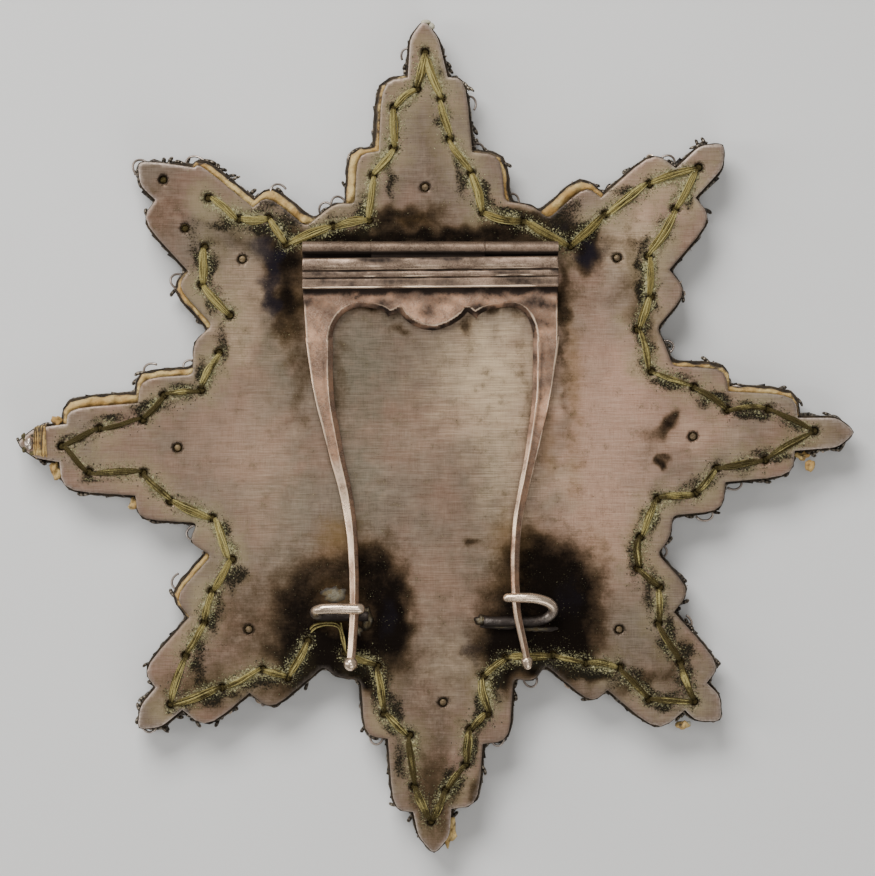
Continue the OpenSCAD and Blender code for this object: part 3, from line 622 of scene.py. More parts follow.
def plateSilver():
    # Tarnished silver: brush lines, cloudy tones, stains, painted shadows and sheen, and grime and verdigris
    # beside the thread
    startMaterial("plateSilver", 0.6, 0.45, **{"Anisotropic": 0.3, "Specular IOR Level": 0.2})
    brush = grain((4.2, 0.085, 3.0), 3, 0.6)
    brushFine = grain((1.3, 0.05, 1.0), 2, 0.6, 5)
    across = grain((0.1, 1.6, 1.0), 2, 0.6, 9)
    cloud = grain(8.0, 5, 0.6, 2)
    mottle = grain(1.6, 6, 0.68, 7)
    fine = grain(0.34, 5, 0.72, 3)
    crumb = grain(0.24, 4, 0.75, 11)
    gritNoise = grain(0.2, 3, 0.7, 17)
    colour = blend(between(cloud, 0.36, 0.64), tone(106, 90, 75), tone(122, 93, 76))
    colour = blend(clamped(painted("green") * between(mottle, 0.3, 0.7, 0.5, 1.0)), colour,
                   tone(100, 94, 76))
    # Painted highlight: cream sheen along the brush lines where the pale fields lie
    colour = blend(clamped(painted("pale") * between(brush, 0.3, 0.7, 0.6, 1.0)), colour,
                   tone(196, 172, 138))
    colour = blend(clamped(painted("pink") * between(mottle, 0.3, 0.7, 0.6, 1.0)), colour,
                   tone(182, 143, 120))
    lines = brush + brushFine + across * 0.5
    colour = blend(between(lines, 0.9, 1.6), blend(0.16, colour, tone(86, 70, 58)),
                   blend(0.13, colour, tone(222, 206, 188)))
    colour = blend(between(mottle, 0.46, 0.76, 0, 0.46), colour, tone(88, 72, 56))
    colour = blend(between(mottle, 0.48, 0.26, 0, 0.2), colour, tone(176, 152, 126))
    colour = blend(between(fine, 0.6, 0.76, 0, 0.4), colour, tone(72, 58, 42))
    broken = mottle - 0.5 + (fine - 0.5) * 0.6
    soft = broken * 0.55
    film = painted("film") + broken * 1.3
    colour = blend(between(film, 0.05, 0.8, 0, 0.58), colour, tone(150, 136, 104))
    ochre = painted("ochre") + soft
    colour = blend(between(ochre, 0.05, 0.85, 0, 0.75), colour, tone(110, 84, 44))
    # Brown and near black stains; the same mask also paints the shadow under the fork's bar and beside its
    # arms and prongs
    stainAndShadow = painted("stainAndShadow") + soft
    colour = blend(between(stainAndShadow, 0.02, 0.5, 0, 0.82), colour, tone(78, 60, 38))
    colour = blend(between(stainAndShadow, 0.3, 0.86, 0, 0.985), colour, tone(17, 10, 6))
    blue = painted("blue") + soft
    colour = blend(between(blue, 0.1, 0.9, 0, 0.88), colour, tone(30, 26, 34))
    speck = (crumb - 0.5) * 2.2
    colour = blend(between(painted("sooty") + soft, 0.08, 0.7, 0, 0.72), colour, tone(56, 47, 31))
    sootAndShade = painted("sooty") + speck + (mottle - 0.5)
    sooty = between(sootAndShade, 0.34, 0.7)
    colour = blend(sooty * 0.94, colour, tone(26, 22, 13))
    grit = (gritNoise - 0.5) * 2.4
    powder = painted("powder") + (grit + (mottle - 0.5))
    powdery = between(powder, 0.34, 0.68)
    verdigris = blend(between(fine, 0.38, 0.64), tone(104, 98, 60), tone(190, 183, 140))
    colour = blend(powdery * 0.85, colour, verdigris)
    # Bright rim along the outline, strongest at the points: partly wear, partly a painted highlight on the
    # rounded edge
    colour = blend(painted("rim") * between(fine, 0.35, 0.6, 0.35, 0.9), colour, tone(226, 208, 194))
    # Painted shade: a dark ring round the rim of every hole
    colour = blend(between(painted("holeRimShade") + (soft + speck), 0.2, 0.8, 0, 0.8), colour, tone(38, 28, 18))
    dull = larger(larger(between(stainAndShadow, 0.2, 0.6), sooty), powdery)
    roughness = clamped(between(lines, 0.9, 1.6, 0.5, 0.36) + dull * 0.3 + mottle * 0.1)
    metallic = between(larger(sooty * 0.5, powdery), 0.0, 1.0, 0.72, 0.04)
    height = brush * 0.25 + across * 0.1 + larger(powdery, sooty * 0.6) * (crumb * 1.8)
    return finishMaterial(colour, roughness, metallic, height, depth=0.06, strength=0.7)


plateMaterial = plateSilver()


def makePlate():
    # Height of the top: plateTop, less a quarter round near the outline and the holes, plus slow waves
    spacing = plate["spacing"]
    turn = fullTurn(plate["rimPoints"])
    circle = np.stack([np.cos(turn), np.sin(turn)], 1)
    rims = [centre + circle * radius for centre, radius in zip(holeCentres, holeRadii)]
    lips = np.concatenate([centre + circle * (radius + plate["holeRound"])
                           for centre, radius in zip(holeCentres, holeRadii)])
    rings = np.concatenate([inwardOffset(plateOutline, plate["edgeRound"] * share) for share in (0.45, 1.0)])
    rings = rings[nearest(rings, plateOutline)[0] > plate["edgeRound"] * 0.4]
    body = hexPoints(plateOutline.min(0), plateOutline.max(0), spacing)
    body = body[insideLoop(body, plateLoops[0])]
    body = body[nearest(body, plateOutline)[0] > plate["edgeRound"] + spacing * 0.4]
    free = np.concatenate([rings, body])
    free = free[nearest(free, holeCentres)[0] > holeRadii.max() + plate["holeRound"] + spacing * 0.35]
    lips = lips[nearest(lips, plateOutline)[0] > 0.1]
    free = np.concatenate([lips, free])
    points, top = triangulate([plateOutline] + rims, free)
    edgeGap = nearest(points, plateOutline)[0]
    holeGap, nearestHole = nearest(points, holeCentres)
    holeGap = holeGap - holeRadii[nearestHole]
    height = plateTop + plate["waveHeight"] * unevenness(points, plate["waveLength"], 3)
    height -= plate["edgeDrop"] * (1 - unit(edgeGap / plate["edgeRound"])) ** 2
    height -= plate["holeDrop"] * (1 - unit(holeGap / plate["holeRound"])) ** 2
    height -= plate["sinkDepth"] * bell(np.maximum(holeGap, 0), 0, plate["sinkWidth"])
    for x, y, radius in plate["pits"]:
        square = (points[:, 0] - x) ** 2 + (points[:, 1] - y) ** 2
        height -= plate["pitDepth"] * np.exp(-square / radius ** 2)
    sizes = [len(plateOutline)] + [len(turn)] * len(rims)
    count = sum(sizes)
    faces, upper, lower = joinFaces(top), len(points), len(points) + count
    start = 0
    for size in sizes:
        ring = np.arange(size) + start
        after = np.roll(ring, -1)
        walls = np.stack([ring + upper, ring + lower, after + lower, after + upper], 1)
        faces += (walls if start == 0 else walls[:, ::-1]).tolist()
        start += size
    under = triangulate([plateOutline] + rims, np.zeros((0, 2)))[1]
    faces += (under[:, ::-1] + lower + count).tolist()
    allPoints = np.concatenate([points, points[:count], points[:count], points[:count]])
    allHeights = np.concatenate([height, height[:count], np.full(2 * count, plateBottom)])
    threadGap = nearest(allPoints, threadLine)[0]
    edge = np.concatenate([edgeGap, np.full(3 * count, 1.0)])
    tip = unit((np.linalg.norm(allPoints, axis=1) - 36) / 6)
    patchy = 0.5 + 0.5 * unevenness(allPoints, 7.0, 21)
    clean = 1 - 0.35 * grimeAt(allPoints)
    beside = bell(threadGap, 0.8, 0.45) * (0.5 + 0.5 * unevenness(allPoints, 4.0, 22))
    values = {"stainAndShadow": patches(allPoints, plate["brownStainsAndShadows"], 31, 0.36),
              "blue": patches(allPoints, plate["blueStains"], 41, 0.5),
              "ochre": patches(allPoints, plate["ochreStains"], 51, 0.3),
              "pale": patches(allPoints, plate["paleSheenFields"], 61),
              "green": patches(allPoints, plate["greenFields"], 71),
              "pink": patches(allPoints, plate["pinkFields"], 76),
              "powder": unit(1.15 - threadGap / 1.25) * clean * (0.5 + 0.4 * patchy),
              "film": unit(1.15 - threadGap / 3.2) * clean * (0.45 + 0.55 * patchy),
              "sooty": 0.66 * patches(allPoints, plate["sootSpots"], 81, 0.4) + 0.3 * beside,
              # A bright edge, partly wear and partly painted highlight, stronger towards the points
              "rim": unit(1 - edge / 0.22) * (0.25 + 0.75 * tip),
              # Painted shade round the rims of the holes, falling off over haloWidth mm
              "holeRimShade": bell(np.concatenate([holeGap, np.zeros(3 * count)]), 0, plate["haloWidth"])}
    piece = buildPiece("plateSheet", np.column_stack([allPoints, allHeights]), faces, plateMaterial, "star",
                       values)
    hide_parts("back_plate")


makePlate()
print("back plate")


# Sewing thread.

def threadFibre():
    # Yellow olive thread, greyer where it is grimy, with short pale and dark fibres
    startMaterial("threadFibre", roughness=0.85, **{"Specular IOR Level": 0.15})
    fibre = grain(0.16, 4, 0.7)
    blot = grain(1.1, 3, 0.6, 4)
    fuzz = grain((0.05, 0.05, 0.3), 3, 0.6, 6)
    colour = blend(painted("tint"), tone(122, 106, 56), tone(186, 172, 112))
    colour = blend(between(fibre, 0.35, 0.7, 0, 0.55), colour, tone(74, 62, 32))
    spotted = blot + (fibre + painted("tint") * -0.55)
    colour = blend(between(painted("sootAndShade") + (spotted - 0.74), 0.05, 0.8, 0, 0.92), colour,
                   tone(48, 38, 17))
    colour = blend(between(fuzz, 0.54, 0.68, 0, 0.4), colour, tone(158, 146, 92))
    return finishMaterial(colour, height=fibre, depth=0.03)


threadMaterial = threadFibre()


def makeThread():
    # Each stitch is a bundle of strands. Strand k runs at its own place in a flat bundle, its height
    # rises over the plate as sin to the power `rise`, and both ends dive into the holes.
    random = np.random.default_rng(5)
    stitches, strands, stations = len(gapStart), thread["strands"], thread["stations"]
    share = np.linspace(0, 1, stations)
    bow = unit(np.sin(np.pi * share))
    spread = 0.5 + 0.5 * bow ** 0.6
    along = gapEnd - gapStart
    length = np.linalg.norm(along, axis=1)
    along /= length[:, None]
    side = np.stack([-along[:, 1], along[:, 0]], 1)
    lane = (np.arange(strands) % 6 - 2.5) / 2.5
    lane = np.where(np.arange(strands) >= 6, lane * 0.8 + 0.12, lane)
    layer = (np.arange(strands) >= 6).astype(float)
    lane = lane[None] + random.normal(0, 0.07, (stitches, strands))
    width = (thread["bundleHalf"] * random.uniform(0.8, 1.25, stitches)
             * (1 - 0.3 * grimeAt((gapStart + gapEnd) / 2)))
    twist = random.normal(0, 0.22, (stitches, 1, 1)) * (share - 0.5)
    wander = 0.05 * np.sin(2 * np.pi * share * random.uniform(0.5, 1.6, (stitches, strands, 1))
                           + random.uniform(0, 6.3, (stitches, strands, 1)))
    aside = lane[:, :, None] * width[:, None, None] * spread + twist * 1.2 + wander * bow
    bend = random.normal(0, 0.12, (stitches, 1, 1)) * bow
    inset, dive, sides = thread["inset"], thread["dive"], thread["sides"]
    run = (inset + (length[:, None, None] - 2 * inset) * share) + np.zeros((stitches, strands, 1))
    flat = (gapStart[:, None, None] + along[:, None, None] * run[..., None]
            + side[:, None, None] * (aside + bend)[..., None])
    rise = bow ** thread["rise"]
    radius = thread["strandRadius"]
    top = (plateTop + radius + 0.04 + layer[None, :, None] * radius * 1.7
           + random.uniform(0, 0.05, (stitches, strands, 1)))
    z = plateTop - dive + (top - plateTop + dive) * rise
    paths = np.concatenate([flat, z[..., None]], -1).reshape(-1, stations, 3)
    radii = radius * random.uniform(0.8, 1.2, (stitches * strands, 1))
    points, faces = tubes(paths, radii, sides, (0, 0, 1))
    tint = perRing(random.uniform(0, 1, (len(paths), 1)), len(paths), stations, sides)
    sootAndShade = perRing(grimeAt(paths) + 0.5 * (1 - bow) ** 3 + 0.25 * unevenness(paths, 3.0, 23), len(paths),
                   stations, sides)
    buildPiece("sewingThread", points, faces, threadMaterial, "star",
               {"tint": tint, "sootAndShade": sootAndShade})


makeThread()
print("sewing thread")


# Pin fork.

fork = {
    "length": 45.6, "half": 12.55, "centreX": -0.3, "armWidth": 2.4, "leftEnd": -14.45, "rightEnd": 13.65,
    "sheetBottom": 5.25, "sheetTop": 5.95, "prongZ": 6.4, "prongHeight": 0.92, "barBack": 1.0,
    "barFront": 4.42, "grooveZ": 6.39, "flatZ": 6.55, "barTilt": 0.0095, "bevelWidth": 0.54,
    "bevelDrop": 0.42,
    # lobe: where it is lowest, its run and its depth; sides: notch, cusp, share of the arch before its top
    "lobe": (0.4, 7.0, 2.05), "archRun": 6.5, "armRun": 10.12, "blendRun": 10.76,
    "leftCut": (3.5, 4.76, 7.55, 0.5), "rightCut": (4.0, 5.03, 7.75, 0.62),
    "barrelRadius": 0.72, "knuckle": (-6.95, 5.65), "ballRadius": 0.79, "prongShift": 0.1,
    # share of the length, share of the half width aside, width as a share of armWidth
    "leftProng": [(0.212, 0.984, 1.28), (0.295, 0.962, 1.06), (0.368, 0.931, 0.88), (0.441, 0.874, 0.76),
                  (0.514, 0.815, 0.66), (0.586, 0.75, 0.59), (0.659, 0.706, 0.53), (0.732, 0.683, 0.47),
                  (0.805, 0.673, 0.45), (0.878, 0.674, 0.43), (0.951, 0.689, 0.41), (0.995, 0.705, 0.39)],
    "rightProng": [(0.212, 1.008, 1.23), (0.295, 0.986, 1.02), (0.368, 0.96, 0.82), (0.441, 0.912, 0.68),
                   (0.514, 0.861, 0.56), (0.586, 0.803, 0.49), (0.659, 0.754, 0.44), (0.732, 0.734, 0.42),
                   (0.805, 0.734, 0.42), (0.878, 0.752, 0.38), (0.951, 0.807, 0.35), (0.995, 0.84, 0.33)],
}


def wornSilver(name, light, dark, grime, roughness, lowerEdge=None):
    # Silver with a pink tarnish in clouds, bright where its number for wear and painted highlight says, and
    # dark where its number for soot and painted shade says
    startMaterial(name, metallic=0.8, roughness=roughness, Anisotropic=0.2)
    cloud = grain(2.6, 4, 0.6, 1)
    mottle = grain(0.7, 4, 0.65, 5)
    fine = grain(0.14, 3, 0.6, 8)
    file = grain((1.6, 0.05, 0.05), 2, 0.5, 3)
    colour = blend(between(cloud + (mottle - 0.5) * 0.6, 0.36, 0.66), dark, light)
    colour = blend(between(mottle, 0.58, 0.75, 0, 0.4), colour, grime)
    colour = blend(between(fine, 0.3, 0.75, 0, 0.34), colour, tone(222, 196, 170))
    broken = mottle - 0.5 + (fine - 0.5) * 0.5
    darkening = painted("sootAndShade")
    # With lowerEdge the darkening goes by y alone: darker from lowerEdge + 0.5 mm to lowerEdge + 0.1 mm, on
    # the barrel's side towards the bar, and lighter again from lowerEdge - 0.4 mm to lowerEdge - 1 mm
    if lowerEdge is not None:
        y = output(1, "ShaderNodeSeparateXYZ", {0: output("Object", "ShaderNodeTexCoord")})
        darkening = (between(y, (lowerEdge + 0.5) * metre, (lowerEdge + 0.1) * metre, 0.28, 1.2)
                + between(y, (lowerEdge - 0.4) * metre, (lowerEdge - 1.0) * metre, 0.0, -0.75))
    # Darkened by soot and by painted shade alike
    sootAndShade = between(darkening + broken, 0.1, 0.95)
    colour = blend(sootAndShade * 0.96, colour, tone(32, 22, 16))
    # Brightened by wear and by painted highlights alike
    wearAndHighlight = between(painted("wearAndHighlight") + broken * 0.5, 0.25, 0.8)
    colour = blend(wearAndHighlight * 0.75, colour, tone(246, 218, 188))
    rough = clamped(between(cloud, 0.3, 0.7, roughness + 0.06, roughness - 0.06) + sootAndShade * 0.35
                    + wearAndHighlight * -0.08)
    metallic = between(sootAndShade, 0.0, 1.0, 0.85, 0.6)
    height = file * 0.5 + (mottle + fine * 0.3)
    return finishMaterial(colour, rough, metallic, height, depth=0.018, strength=0.6)


forkMaterial = wornSilver("forkSilver", tone(182, 138, 108), tone(116, 88, 72), tone(80, 60, 48), 0.38)
hingeMaterial = wornSilver("hingeSilver", tone(118, 96, 80), tone(80, 62, 50), tone(54, 40, 30), 0.5,
                           lowerEdge=hingeY - fork["barrelRadius"])
barMaterial = wornSilver("barSilver", tone(138, 114, 97), tone(96, 77, 63), tone(60, 44, 36), 0.4)
hookMaterial = wornSilver("hookSilver", tone(198, 188, 180), tone(138, 126, 118), tone(84, 72, 64), 0.3)


def arc(x, y, halfX, halfY, start, end, steps):
    # Points of an ellipse about (x, y) from one angle to another
    a = np.radians(np.linspace(start, end, steps + 1))
    return np.stack([x + halfX * np.cos(a), y + halfY * np.sin(a)], 1)


def barProfile():
    # Runs and heights across the bar: a torus, a bead, a flat field and a lip, between two soft edges
    back, front, groove, flat = fork["barBack"], fork["barFront"], fork["grooveZ"], fork["flatZ"]
    low = fork["sheetBottom"] + 0.03
    return np.concatenate([[[back + 1.7, low], [back + 0.9, low], [back + 0.05, low], [back, low + 0.05],
        [back, groove - 0.25]], arc(back + 0.69, groove, 0.69, 0.34, 180, 0, 22),
        [[back + 1.43, groove - 0.05]], arc(back + 1.84, groove, 0.36, 0.2, 180, 0, 14),
        [[back + 2.26, groove - 0.04]], arc(back + 2.4, flat - 0.1, 0.07, 0.1, 180, 90, 4),
        [[back + 2.6, flat + 0.01], [front - 0.42, flat - 0.01]],
        arc(front - 0.17, flat - 0.01, 0.17, 0.14, 170, 0, 14),
        [[front, flat - 0.3], [front, low + 0.05], [front - 0.05, low], [front - 0.9, low]]])


def extrudeAlongX(profile, low, high, step, soft=0.07):
    # The profile (run towards -Y, height) carried from low to high, drawn in a little at both ends
    stations = np.concatenate([[low, low + soft * 0.35],
        np.linspace(low + soft, high - soft, int((high - low) / step)), [high - soft * 0.35, high]])
    inset = unit(1 - np.minimum(stations - low, high - stations) / soft) ** 2 * soft * 0.7
    middle = (profile.min(0) + profile.max(0)) / 2
    half = (profile.max(0) - profile.min(0)) / 2
    shrink = 1 - inset[:, None] / half
    section = middle + (profile[None] - middle) * shrink[:, None]
    points = np.empty((len(stations), len(profile), 3))
    points[..., 0] = stations[:, None]
    points[..., 1] = hingeY - section[..., 0]
    points[..., 2] = section[..., 1]
    return points.reshape(-1, 3), shellFaces(len(stations), len(profile)), stations


def makeBar():
    # Extruded mouldings, with waves of wear in height and a slight tilt along the bar
    profile = barProfile()
    points, faces, stations = extrudeAlongX(profile, fork["leftEnd"], fork["rightEnd"], 0.2)
    run = np.tile(profile[:, 0], len(stations)) - fork["barBack"]
    high = points[:, 2] > fork["sheetTop"]
    points[:, 1] += fork["barTilt"] * points[:, 0]
    points[:, 2] += np.where(high, 0.018 * unevenness(points * (1, 3, 0), 2.6, 91)
        + 0.03 * unevenness(points * (1, 0.3, 0), 9.0, 92), 0)
    broken = np.clip(0.75 + 1.1 * unevenness(points * (1, 4, 0), 2.4, 90), 0.15, 1.2)
    groove = (0.85 * bell(run, 1.47, 0.09) + 0.6 * bell(run, 2.24, 0.09)) * (0.5 + 0.5 * broken)
    field = bell(run, 2.75, 0.5)
    # Darker low on the bar's sides, where they meet the sheet
    side = (unit((fork["sheetTop"] + 0.25 - points[:, 2]) / 0.3)
            * np.clip((points[:, 2] - fork["sheetBottom"]) / 0.2, 0.35, 1))
    # Painted shade: the upper parts of the torus and of the bead darker
    barShade = 0.36 * bell(run, 0.2, 0.42) + 0.5 * bell(run, 1.75, 0.24)
    streak = 0.75 + 0.5 * unevenness(points * (0.35, 1.6, 0), 3.0, 93)
    sootAndShade = np.clip(groove + (barShade + 0.5 * field) * streak + 0.9 * side + 0.14, 0, 1.3)
    # Painted highlights: bright lines on the lower part of the torus, on the bead and along the lip
    barHighlight = 0.5 * bell(run, 0.98, 0.22) + 0.8 * bell(run, 1.3, 0.07)
    barHighlight = barHighlight + broken * bell(run, 2.06, 0.08) + 1.3 * bell(run, 3.26, 0.1)
    wearAndHighlight = barHighlight * (0.75 + 0.4 * unevenness(points, 6.0, 94))
    under = points[:, 2] < fork["sheetBottom"] + 0.05
    return points, faces, np.where(under, 0.35, sootAndShade), np.where(under, 0, wearAndHighlight)


def innerCut(armSide, side):
    # One side of the cut inside the fork, from its middle out: half a lobe, a cusp and an arch into the arm
    notch, cuspAt, cuspRun, peakShare = fork["leftCut" if side < 0 else "rightCut"]
    middle, lobeRun, depth = fork["lobe"]
    peak = cuspAt + (armSide - cuspAt) * peakShare
    t = np.radians(np.linspace(0 if side < 0 else 18, 64, 15))
    share = (np.sin(t) - np.sin(t[0])) / (np.sin(t[-1]) - np.sin(t[0]))
    drop = (np.cos(t) - np.cos(t[-1])) / (np.cos(t[0]) - np.cos(t[-1]))
    half = np.stack([side * middle + (notch - side * middle) * share, lobeRun + depth * drop], 1)
    return np.concatenate([
        half, arc(peak, cuspRun, peak - cuspAt, cuspRun - fork["archRun"], 180, 270, 14),
        arc(peak, fork["armRun"], armSide - peak, fork["armRun"] - fork["archRun"], 270, 360, 18),
        [[armSide, fork["blendRun"]]]])


def makeSheet():
    # Filled outline whose top falls along a filed bevel beside the inner cut and a small round at its edge
    reach = fork["half"]
    sides = []
    for rows, side in ((fork["leftProng"], -1), (fork["rightProng"], 1)):
        rows = np.array(rows)
        arm = np.interp(fork["blendRun"] / fork["length"], rows[:, 0], rows[:, 1]) * reach
        width = (np.interp(fork["blendRun"] / fork["length"], rows[:, 0], rows[:, 2]) * fork["armWidth"] / 2
                 - 0.05)
        cut = innerCut(reach * rows[0, 1] - fork["armWidth"] / 2 * rows[0, 2] + 0.05, side)
        cut[-1, 0] = arm - width
        sides.append((arm, width, cut))
    (leftArm, leftWidth, leftCut), (rightArm, rightWidth, rightCut) = sides
    shift, shoulder = fork["centreX"], fork["barFront"] + 0.5
    cut = np.concatenate([leftCut[::-1] * (-1, -1), rightCut[1:] * (1, -1)])
    left, right = fork["leftEnd"] - shift + 0.06, fork["rightEnd"] - shift - 0.06
    back = fork["barBack"] + 0.06
    outer = np.array([[rightArm + rightWidth, -fork["blendRun"]], [right, -shoulder], [right, -back],
                      [left, -back], [left, -shoulder], [-leftArm - leftWidth, -fork["blendRun"]]])
    place = np.array([shift, hingeY])
    loop = anticlockwise(np.concatenate([cut, outer])) + place
    edge = finer(loop, 0.12)
    cutLine = finer(cut + place, 0.1)[: -int(np.linalg.norm(cut[0] - cut[-1]) / 0.1)]
    bevel = fork["bevelWidth"]
    rings = np.concatenate([inwardOffset(edge, d) for d in (0.05, 0.12)] + [inwardOffset(edge, bevel)])
    body = hexPoints(edge.min(0), edge.max(0), 0.2)
    free = np.concatenate([rings, body[nearest(body, rings)[0] > 0.09]])
    free = free[insideLoop(free, loop)]
    free = free[nearest(free, edge)[0] > 0.035]
    points, top = triangulate([edge], free)
    edgeGap, cutGap = nearest(points, edge)[0], nearest(points, cutLine)[0]
    slope = unit(1 - cutGap / bevel)
    height = fork["sheetTop"] - fork["bevelDrop"] * slope - 0.07 * unit(1 - edgeGap / 0.12) ** 2
    height += 0.012 * unevenness(points, 3.0, 95)
    height -= 0.14 * unit(1 - (points[:, 1] - (hingeY - fork["blendRun"])) / 0.6) ** 2
    count = len(edge)
    ring = np.arange(count) + len(points)
    after = np.roll(ring, -1)
    walls = np.stack([ring, ring + count, after + count, after], 1)
    under = top[:, ::-1] + len(points) + 2 * count
    allPoints = np.column_stack([np.concatenate([points, edge, edge, points]),
        np.concatenate([height, height[:count], np.full(count + len(points), fork["sheetBottom"])])])
    hidden = 2 * count + len(points)
    wall = np.concatenate([np.zeros(len(points)), np.ones(hidden)])
    run = hingeY - allPoints[:, 1]
    shadow = (np.clip(1.35 - (run - fork["barFront"]) / 1.05, 0, 1.3)
              * (0.9 + 0.15 * unevenness(allPoints, 2.2, 96)))
    # Stain and painted shadow together: the web darker below the bar, fading out over 4.6 mm
    webStainAndShadow = (0.48 * unit(1.35 - (run - fork["barFront"]) / 4.6)
                * (0.85 + 0.5 * unevenness(allPoints * (0.6, 1, 1), 2.4, 97)))
    # Painted shade on the bevel slopes, darkest round the lobe in the middle
    bevelShade = (np.concatenate([slope > 0.04, np.zeros(hidden)])
                 * (0.2 + 0.42 * unit(1.4 - np.abs(allPoints[:, 0]) / 5))
                 * (0.85 + 0.5 * unevenness(allPoints, 1.6, 89)))
    below = np.arange(len(allPoints)) >= len(points) + 2 * count
    sootAndShade = np.clip(np.maximum(shadow, webStainAndShadow) + bevelShade, 0, 1.2) + 0.4 * wall
    sootAndShade += 0.22 * unit((allPoints[:, 0] - 6) / 3) * unit(run - fork["barFront"] - 0.8)
    sootAndShade = np.where(below, 0.3, sootAndShade)
    # Painted highlights: a bright line at the top of the bevel and one along the outer edge, fading in below
    # the bar
    line = bell(np.concatenate([cutGap, np.zeros(hidden)]) - bevel, 0.03, 0.09)
    outerLine = np.concatenate([bell(edgeGap, 0.13, 0.11) * (cutGap > bevel), np.zeros(hidden)])
    wearAndHighlight = (0.85 * line + 0.75 * outerLine) * unit((run - fork["barFront"] - 0.6) / 2)
    return allPoints, joinFaces(top, walls, under), sootAndShade, wearAndHighlight


def smoothRows(rows, steps):
    # A Catmull-Rom curve through the rows of a table
    rows = np.asarray(rows, float)
    padded = np.concatenate([rows[:1], rows, rows[-1:]])
    t = np.linspace(0, 1, steps, endpoint=False)[None, :, None]
    a, b, c, d = (padded[i:len(rows) - 1 + i, None] for i in range(4))
    curve = (b + (c - a) * (t / 2) + (2 * a - 5 * b + 4 * c - d) * t ** 2 / 2
             + (3 * b - a - 3 * c + d) * t ** 3 / 2)
    return np.concatenate([curve.reshape(-1, rows.shape[1]), rows[-1:]])


def makeProng(rows, side):
    # Rings along the prong. Across it u runs from the outer edge at -1 to the inner edge at 1. The underside
    # is -(1 - |u|^p)^(1/p). The top is the lower of the same curve and two planes that meet at the ridge.
    rows = smoothRows(rows, 9)
    share = ((rows[:, 0] - rows[0, 0]) / (1 - rows[0, 0]))[:, None]
    tall = 0.66 + (fork["prongHeight"] - 0.66) * np.minimum(1, share * 1.4)
    tall = tall * np.where(share > 0.75, 1 - 0.2 * (share - 0.75) * 4, 1)
    middleZ = (fork["sheetBottom"] + fork["sheetTop"]) / 2
    z = middleZ + (fork["prongZ"] - middleZ) * np.sin(np.pi / 2 * np.minimum(1, share * 1.2)) ** 1.5
    dip = 0.14 * unit(1 - (rows[:, :1] - rows[0, 0]) * fork["length"] / 0.6) ** 2
    half = fork["armWidth"] * rows[:, 2:] / 2
    ridge = 0.64 - 0.54 * np.minimum(1, share * 1.25) ** 0.8
    power = 6 - 4 * np.minimum(1, share * 1.6)
    outer, inner = (np.array([0.004, 0.03, 0.08, 0.2, 0.4, 0.6, 0.8, 0.95, 1]),
                    np.array([0.1, 0.3, 0.55, 0.8, 0.93, 0.985]))
    below = np.cos(np.pi * np.arange(1, 12) / 12)[None] + 0 * share
    top = np.concatenate([-1 + (ridge + 1) * outer, ridge + (1 - ridge) * inner], 1)
    curve = lambda u: np.maximum(1 - np.abs(u) ** power, 0) ** (1 / power)
    outerFall, innerFall = (0.6 * unit(share * 3 - 0.1), 0.95 - 0.35 * np.minimum(1, share * 2))
    roof = (1 - np.where(top < ridge, outerFall * (ridge - top) / (ridge + 1),
                         innerFall * (top - ridge) / (1 - ridge)))
    u = np.concatenate([-np.ones_like(share), top, np.ones_like(share), below], 1)
    lift = np.concatenate([0 * share, np.minimum(curve(top), roof), 0 * share, -curve(below)], 1)
    sides = u.shape[1]
    points = np.stack([hingeX + fork["prongShift"] + side * (fork["half"] * rows[:, 1:2] - u * half),
                       hingeY - fork["length"] * rows[:, :1] + 0 * u,
                       z + lift * tall / 2 - dip * (lift > 0)], -1)
    points += (0.012 * unevenness(points * (1, 0.5, 1), 2.0, 98 + side))[..., None] * (1, 0, 1)
    if side > 0:
        order = np.arange(sides)[::-1]
        points, u, lift = points[:, order], u[:, order], lift[:, order]
    above = lift > 0
    onLeft = (u < ridge) if side < 0 else (u > ridge)
    # Painted highlights: bright lines on the ridge and along the outer edge, the left-hand facet lighter, and
    # a brighter stretch towards the end
    line = 0.85 * bell(u, ridge, 0.07) + 0.85 * bell(u + 0.91, 0, 0.09) + 0.5 * unit(share - 0.8) * 5
    prongHighlight = (above * (line + 0.62 * onLeft * unit(share * 4 - 0.7))
            * (0.8 + 0.3 * unevenness(points, 5.0, 99)))
    shade = 0.3 * bell(u - ridge + 0.34, 0, 0.2) + 0.22 * (u > ridge + 0.04) * unit(1.2 - share * 2)
    shade = shade + (0.3 if side > 0 else 0) * (np.abs(u - ridge) > 0.06) * unit(1.3 - share * 2.4)
    sootAndShade = np.where(above, shade + 0.12 * (0.5 + unevenness(points, 3.0, 100)), 0.25)
    faces = shellFaces(len(rows), sides)
    return points.reshape(-1, 3), faces, sootAndShade.ravel(), np.clip(prongHighlight, 0, 1.2).ravel()


def turnedEnd(centre, lengths, radii, direction):
    # A surface of revolution: a radius for each place along the direction, closed to a small flat at the ends
    path = np.array(centre) + np.array(lengths)[:, None] * np.array(direction, float)
    return tubes(path[None], np.array(radii)[None], 20, (0, 0, 1))


